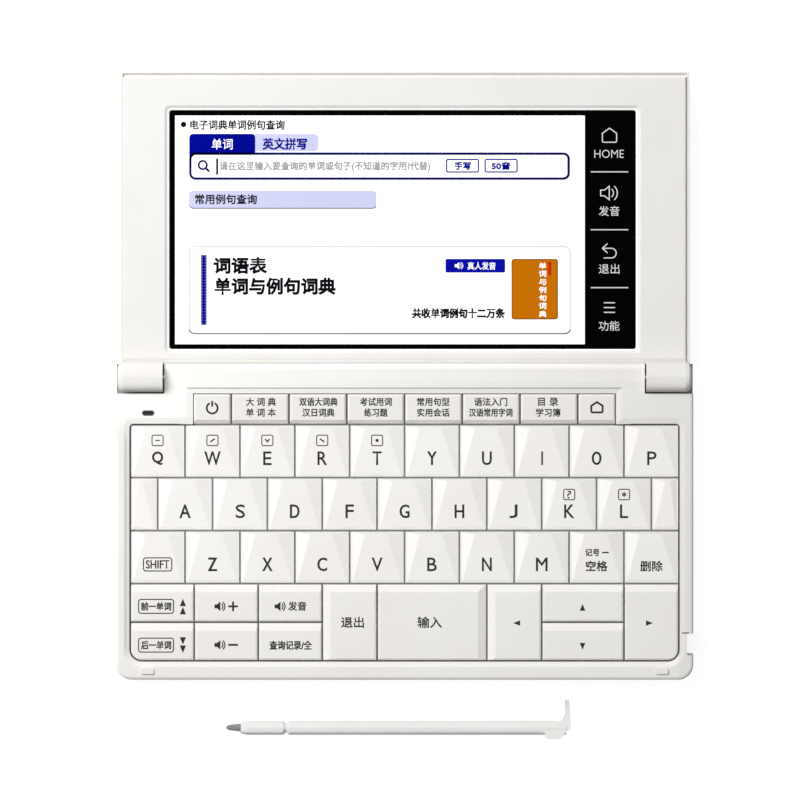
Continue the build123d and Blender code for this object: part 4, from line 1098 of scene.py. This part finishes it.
RIM_FOOT, RIM_LOW, RIM_TOP, RIM_RUN = 8.3, 9.3, 9.7, 0.64
window_side = outline_of("key_q")[0]
row_near, row_far = outline_of("key_a")[2:]
for side, sign in (("left", 1), ("right", -1)):
    outer, inner = sign * window_side, sign * (window_side + RIM_RUN)
    profile = [(outer, RIM_FOOT), (outer, RIM_LOW), (inner, RIM_TOP), (inner, RIM_FOOT)]
    prism("half_cap_rim_" + side, profile, row_near, row_far, "base", "letter_plastic")
print("half cap rims from y", round(row_near, 2), "to", round(row_far, 2))

# %% [markdown]
# ## Between the keys
# The rubber mat stands up as a low web between the caps, so the gaps read as grey lines and not
# as deep black slits.  The webs are a darker grey than the mat: painted shade in the gaps.  Each
# web is a narrow bar that leaves the caps free to move.

# %% The webs of the mat
WEB_WIDTH, WEB_FOOT, WEB_TOP = 0.32, 8.2, 9.05
KEY_GAP = 0.46  # between two caps


def keys_box(*names):
    """Left, right, near and far edge of some keys together, in mm."""
    return outline_of(*("key_" + name for name in names))


def web(left, right, near, far):
    """One bar of the web as corners of a box."""
    return [(left, near), (right, near), (right, far), (left, far)]


def upright_web(middle, near, far):
    """A bar that runs from near to far."""
    return web(middle - WEB_WIDTH / 2, middle + WEB_WIDTH / 2, near, far)


def upright_webs(groups):
    """A bar between each group of keys and the next one to its right, as long as the first."""
    boxes = [keys_box(*group) for group in groups]
    webs = []
    for one, two in zip(boxes, boxes[1:]):
        webs.append(upright_web((one[1] + two[0]) / 2, one[2], one[3]))
    return webs


def level_web(first, last, lower, upper):
    """A bar from the first key to the last, between a key below and a key above."""
    middle = (keys_box(lower)[3] + keys_box(upper)[2]) / 2
    return web(keys_box(first)[0], keys_box(last)[1], middle - WEB_WIDTH / 2,
               middle + WEB_WIDTH / 2)


block = [("previous", "next"), ("volume_up", "volume_down"), ("voice", "history"), ("back",),
         ("enter",), ("left",), ("up", "down"), ("right",)]
rows = ["qwertyuiop", "asdfghjkl", ["shift", *"zxcvbnm", "space", "delete"]]
webs = upright_webs(block)
for row in rows:
    webs += upright_webs([(key,) for key in row])
for middle in (keys_box("a")[0] - KEY_GAP / 2, keys_box("l")[1] + KEY_GAP / 2):
    webs.append(upright_web(middle, *keys_box("a")[2:]))
for lower, upper in (("a", "q"), ("shift", "a"), ("previous", "shift")):
    webs.append(level_web("q", "p", lower, upper))
for lower, upper in (
    ("next", "previous"), ("volume_down", "volume_up"), ("history", "voice"), ("down", "up"),
):
    webs.append(level_web(lower, lower, lower, upper))
webs.append(level_web("power", "home", "q", "power"))
wide_left, wide_right, near, far = outline_of("function_keys")
step = (wide_right - wide_left + KEY_GAP) / len(WIDE_KEYS)
for place in range(len(WIDE_KEYS) + 1):
    webs.append(upright_web(wide_left - KEY_GAP / 2 + step * place, near, far))
lay_film("key_webs", webs, WEB_FOOT, WEB_TOP - WEB_FOOT, "base", "gap_web_painted_shade")
print(len(webs), "webs between the keys")

# %% [markdown]
# ## Painted shade lines that frame the keys
# Where the housing ends at the key window its edge is cut sharply, and the shade in that edge is
# painted as a dark line.  The line follows the real outline: it is found on the imported part,
# where its sloped border meets an upright wall.  The two ends of the stylus notch get the same
# painted shade.

# %% Follow the edge of the key window
LINE_START, LINE_END = 0.01, 0.23  # from the edge, mm
WALL_LIMIT, SLOPE_LIMIT = 0.1, 0.3  # a wall looks up less than this, a border more
LOWEST_EDGE = 8.5
SHORTEST_SHARE = 0.5  # keeps a sharp corner of the line short
WINDOW_REACH = (71.2, -34.8, 34.4)  # half width, near and far end of the area searched, mm
HALF_CAP_REACH = (70.6, -0.6, 13.1)  # the same for the two fixed caps, which are left out


def within(point, reach):
    """True where a point lies in a strip given by its half width, near and far end."""
    return abs(point[0]) < reach[0] and reach[1] < point[1] < reach[2]


def window_edges(node):
    """Edges of the opening as pairs of corners, with the way from the opening into the housing."""
    mesh = bmesh.new()
    mesh.from_mesh(NODES[node].data)
    bmesh.ops.remove_doubles(mesh, verts=mesh.verts, dist=WELD * MM)
    found = []
    for edge in mesh.edges:
        if len(edge.link_faces) != 2:
            continue
        wall, top = sorted(edge.link_faces, key=lambda face: face.normal.z)
        points = [(v.co.x / MM, v.co.y / MM) for v in edge.verts]
        inside = all(within(point, WINDOW_REACH) for point in points)
        inside = inside and not all(within(point, HALF_CAP_REACH) for point in points)
        high = all(v.co.z / MM > LOWEST_EDGE for v in edge.verts)
        if inside and high and abs(wall.normal.z) < WALL_LIMIT and top.normal.z > SLOPE_LIMIT:
            found.append((points, (-wall.normal.x, -wall.normal.y)))
    mesh.free()
    return found


def corner(point):
    """The same name for every point that lies in one corner."""
    return round(point[0], 2), round(point[1], 2)


edges = window_edges("base_top_frame")
away = {}
for points, way in edges:
    for point in points:
        away.setdefault(corner(point), []).append(Vector(way))
rim_faces = []
for points, _ in edges:
    inner, outer = [], []
    for x, y in points:
        ways = away[corner((x, y))]
        middle = sum(ways, Vector((0, 0))).normalized()
        reach = 1 / max(middle.dot(ways[0]), SHORTEST_SHARE)
        for side, distance in ((inner, LINE_START), (outer, LINE_END)):
            side.append((x + middle.x * reach * distance, y + middle.y * reach * distance))
    rim_faces.append([inner[0], inner[1], outer[1], outer[0]])
total = sum(math.dist(*points) for points, _ in edges)
print(len(edges), "edges round the window,", round(total), "mm in all")
# a dark film along the window's edge: painted shade
lay_film("window_painted_shade_line", rim_faces, surface_of("base_top_frame"), INK, "base", "line_shade")

# %% Painted shade lines at the two ends of the stylus notch
NOTCH_PAINTED_SHADE = [web(71.45, 73.95, -27.06, -26.74), web(72.75, 74.0, -32.6, -32.34)]
lay_film("notch_painted_shade", NOTCH_PAINTED_SHADE, surface_of("base_top_frame"), INK, "base", "line_shade")
print(len(NOTCH_PAINTED_SHADE), "lips at the notch")
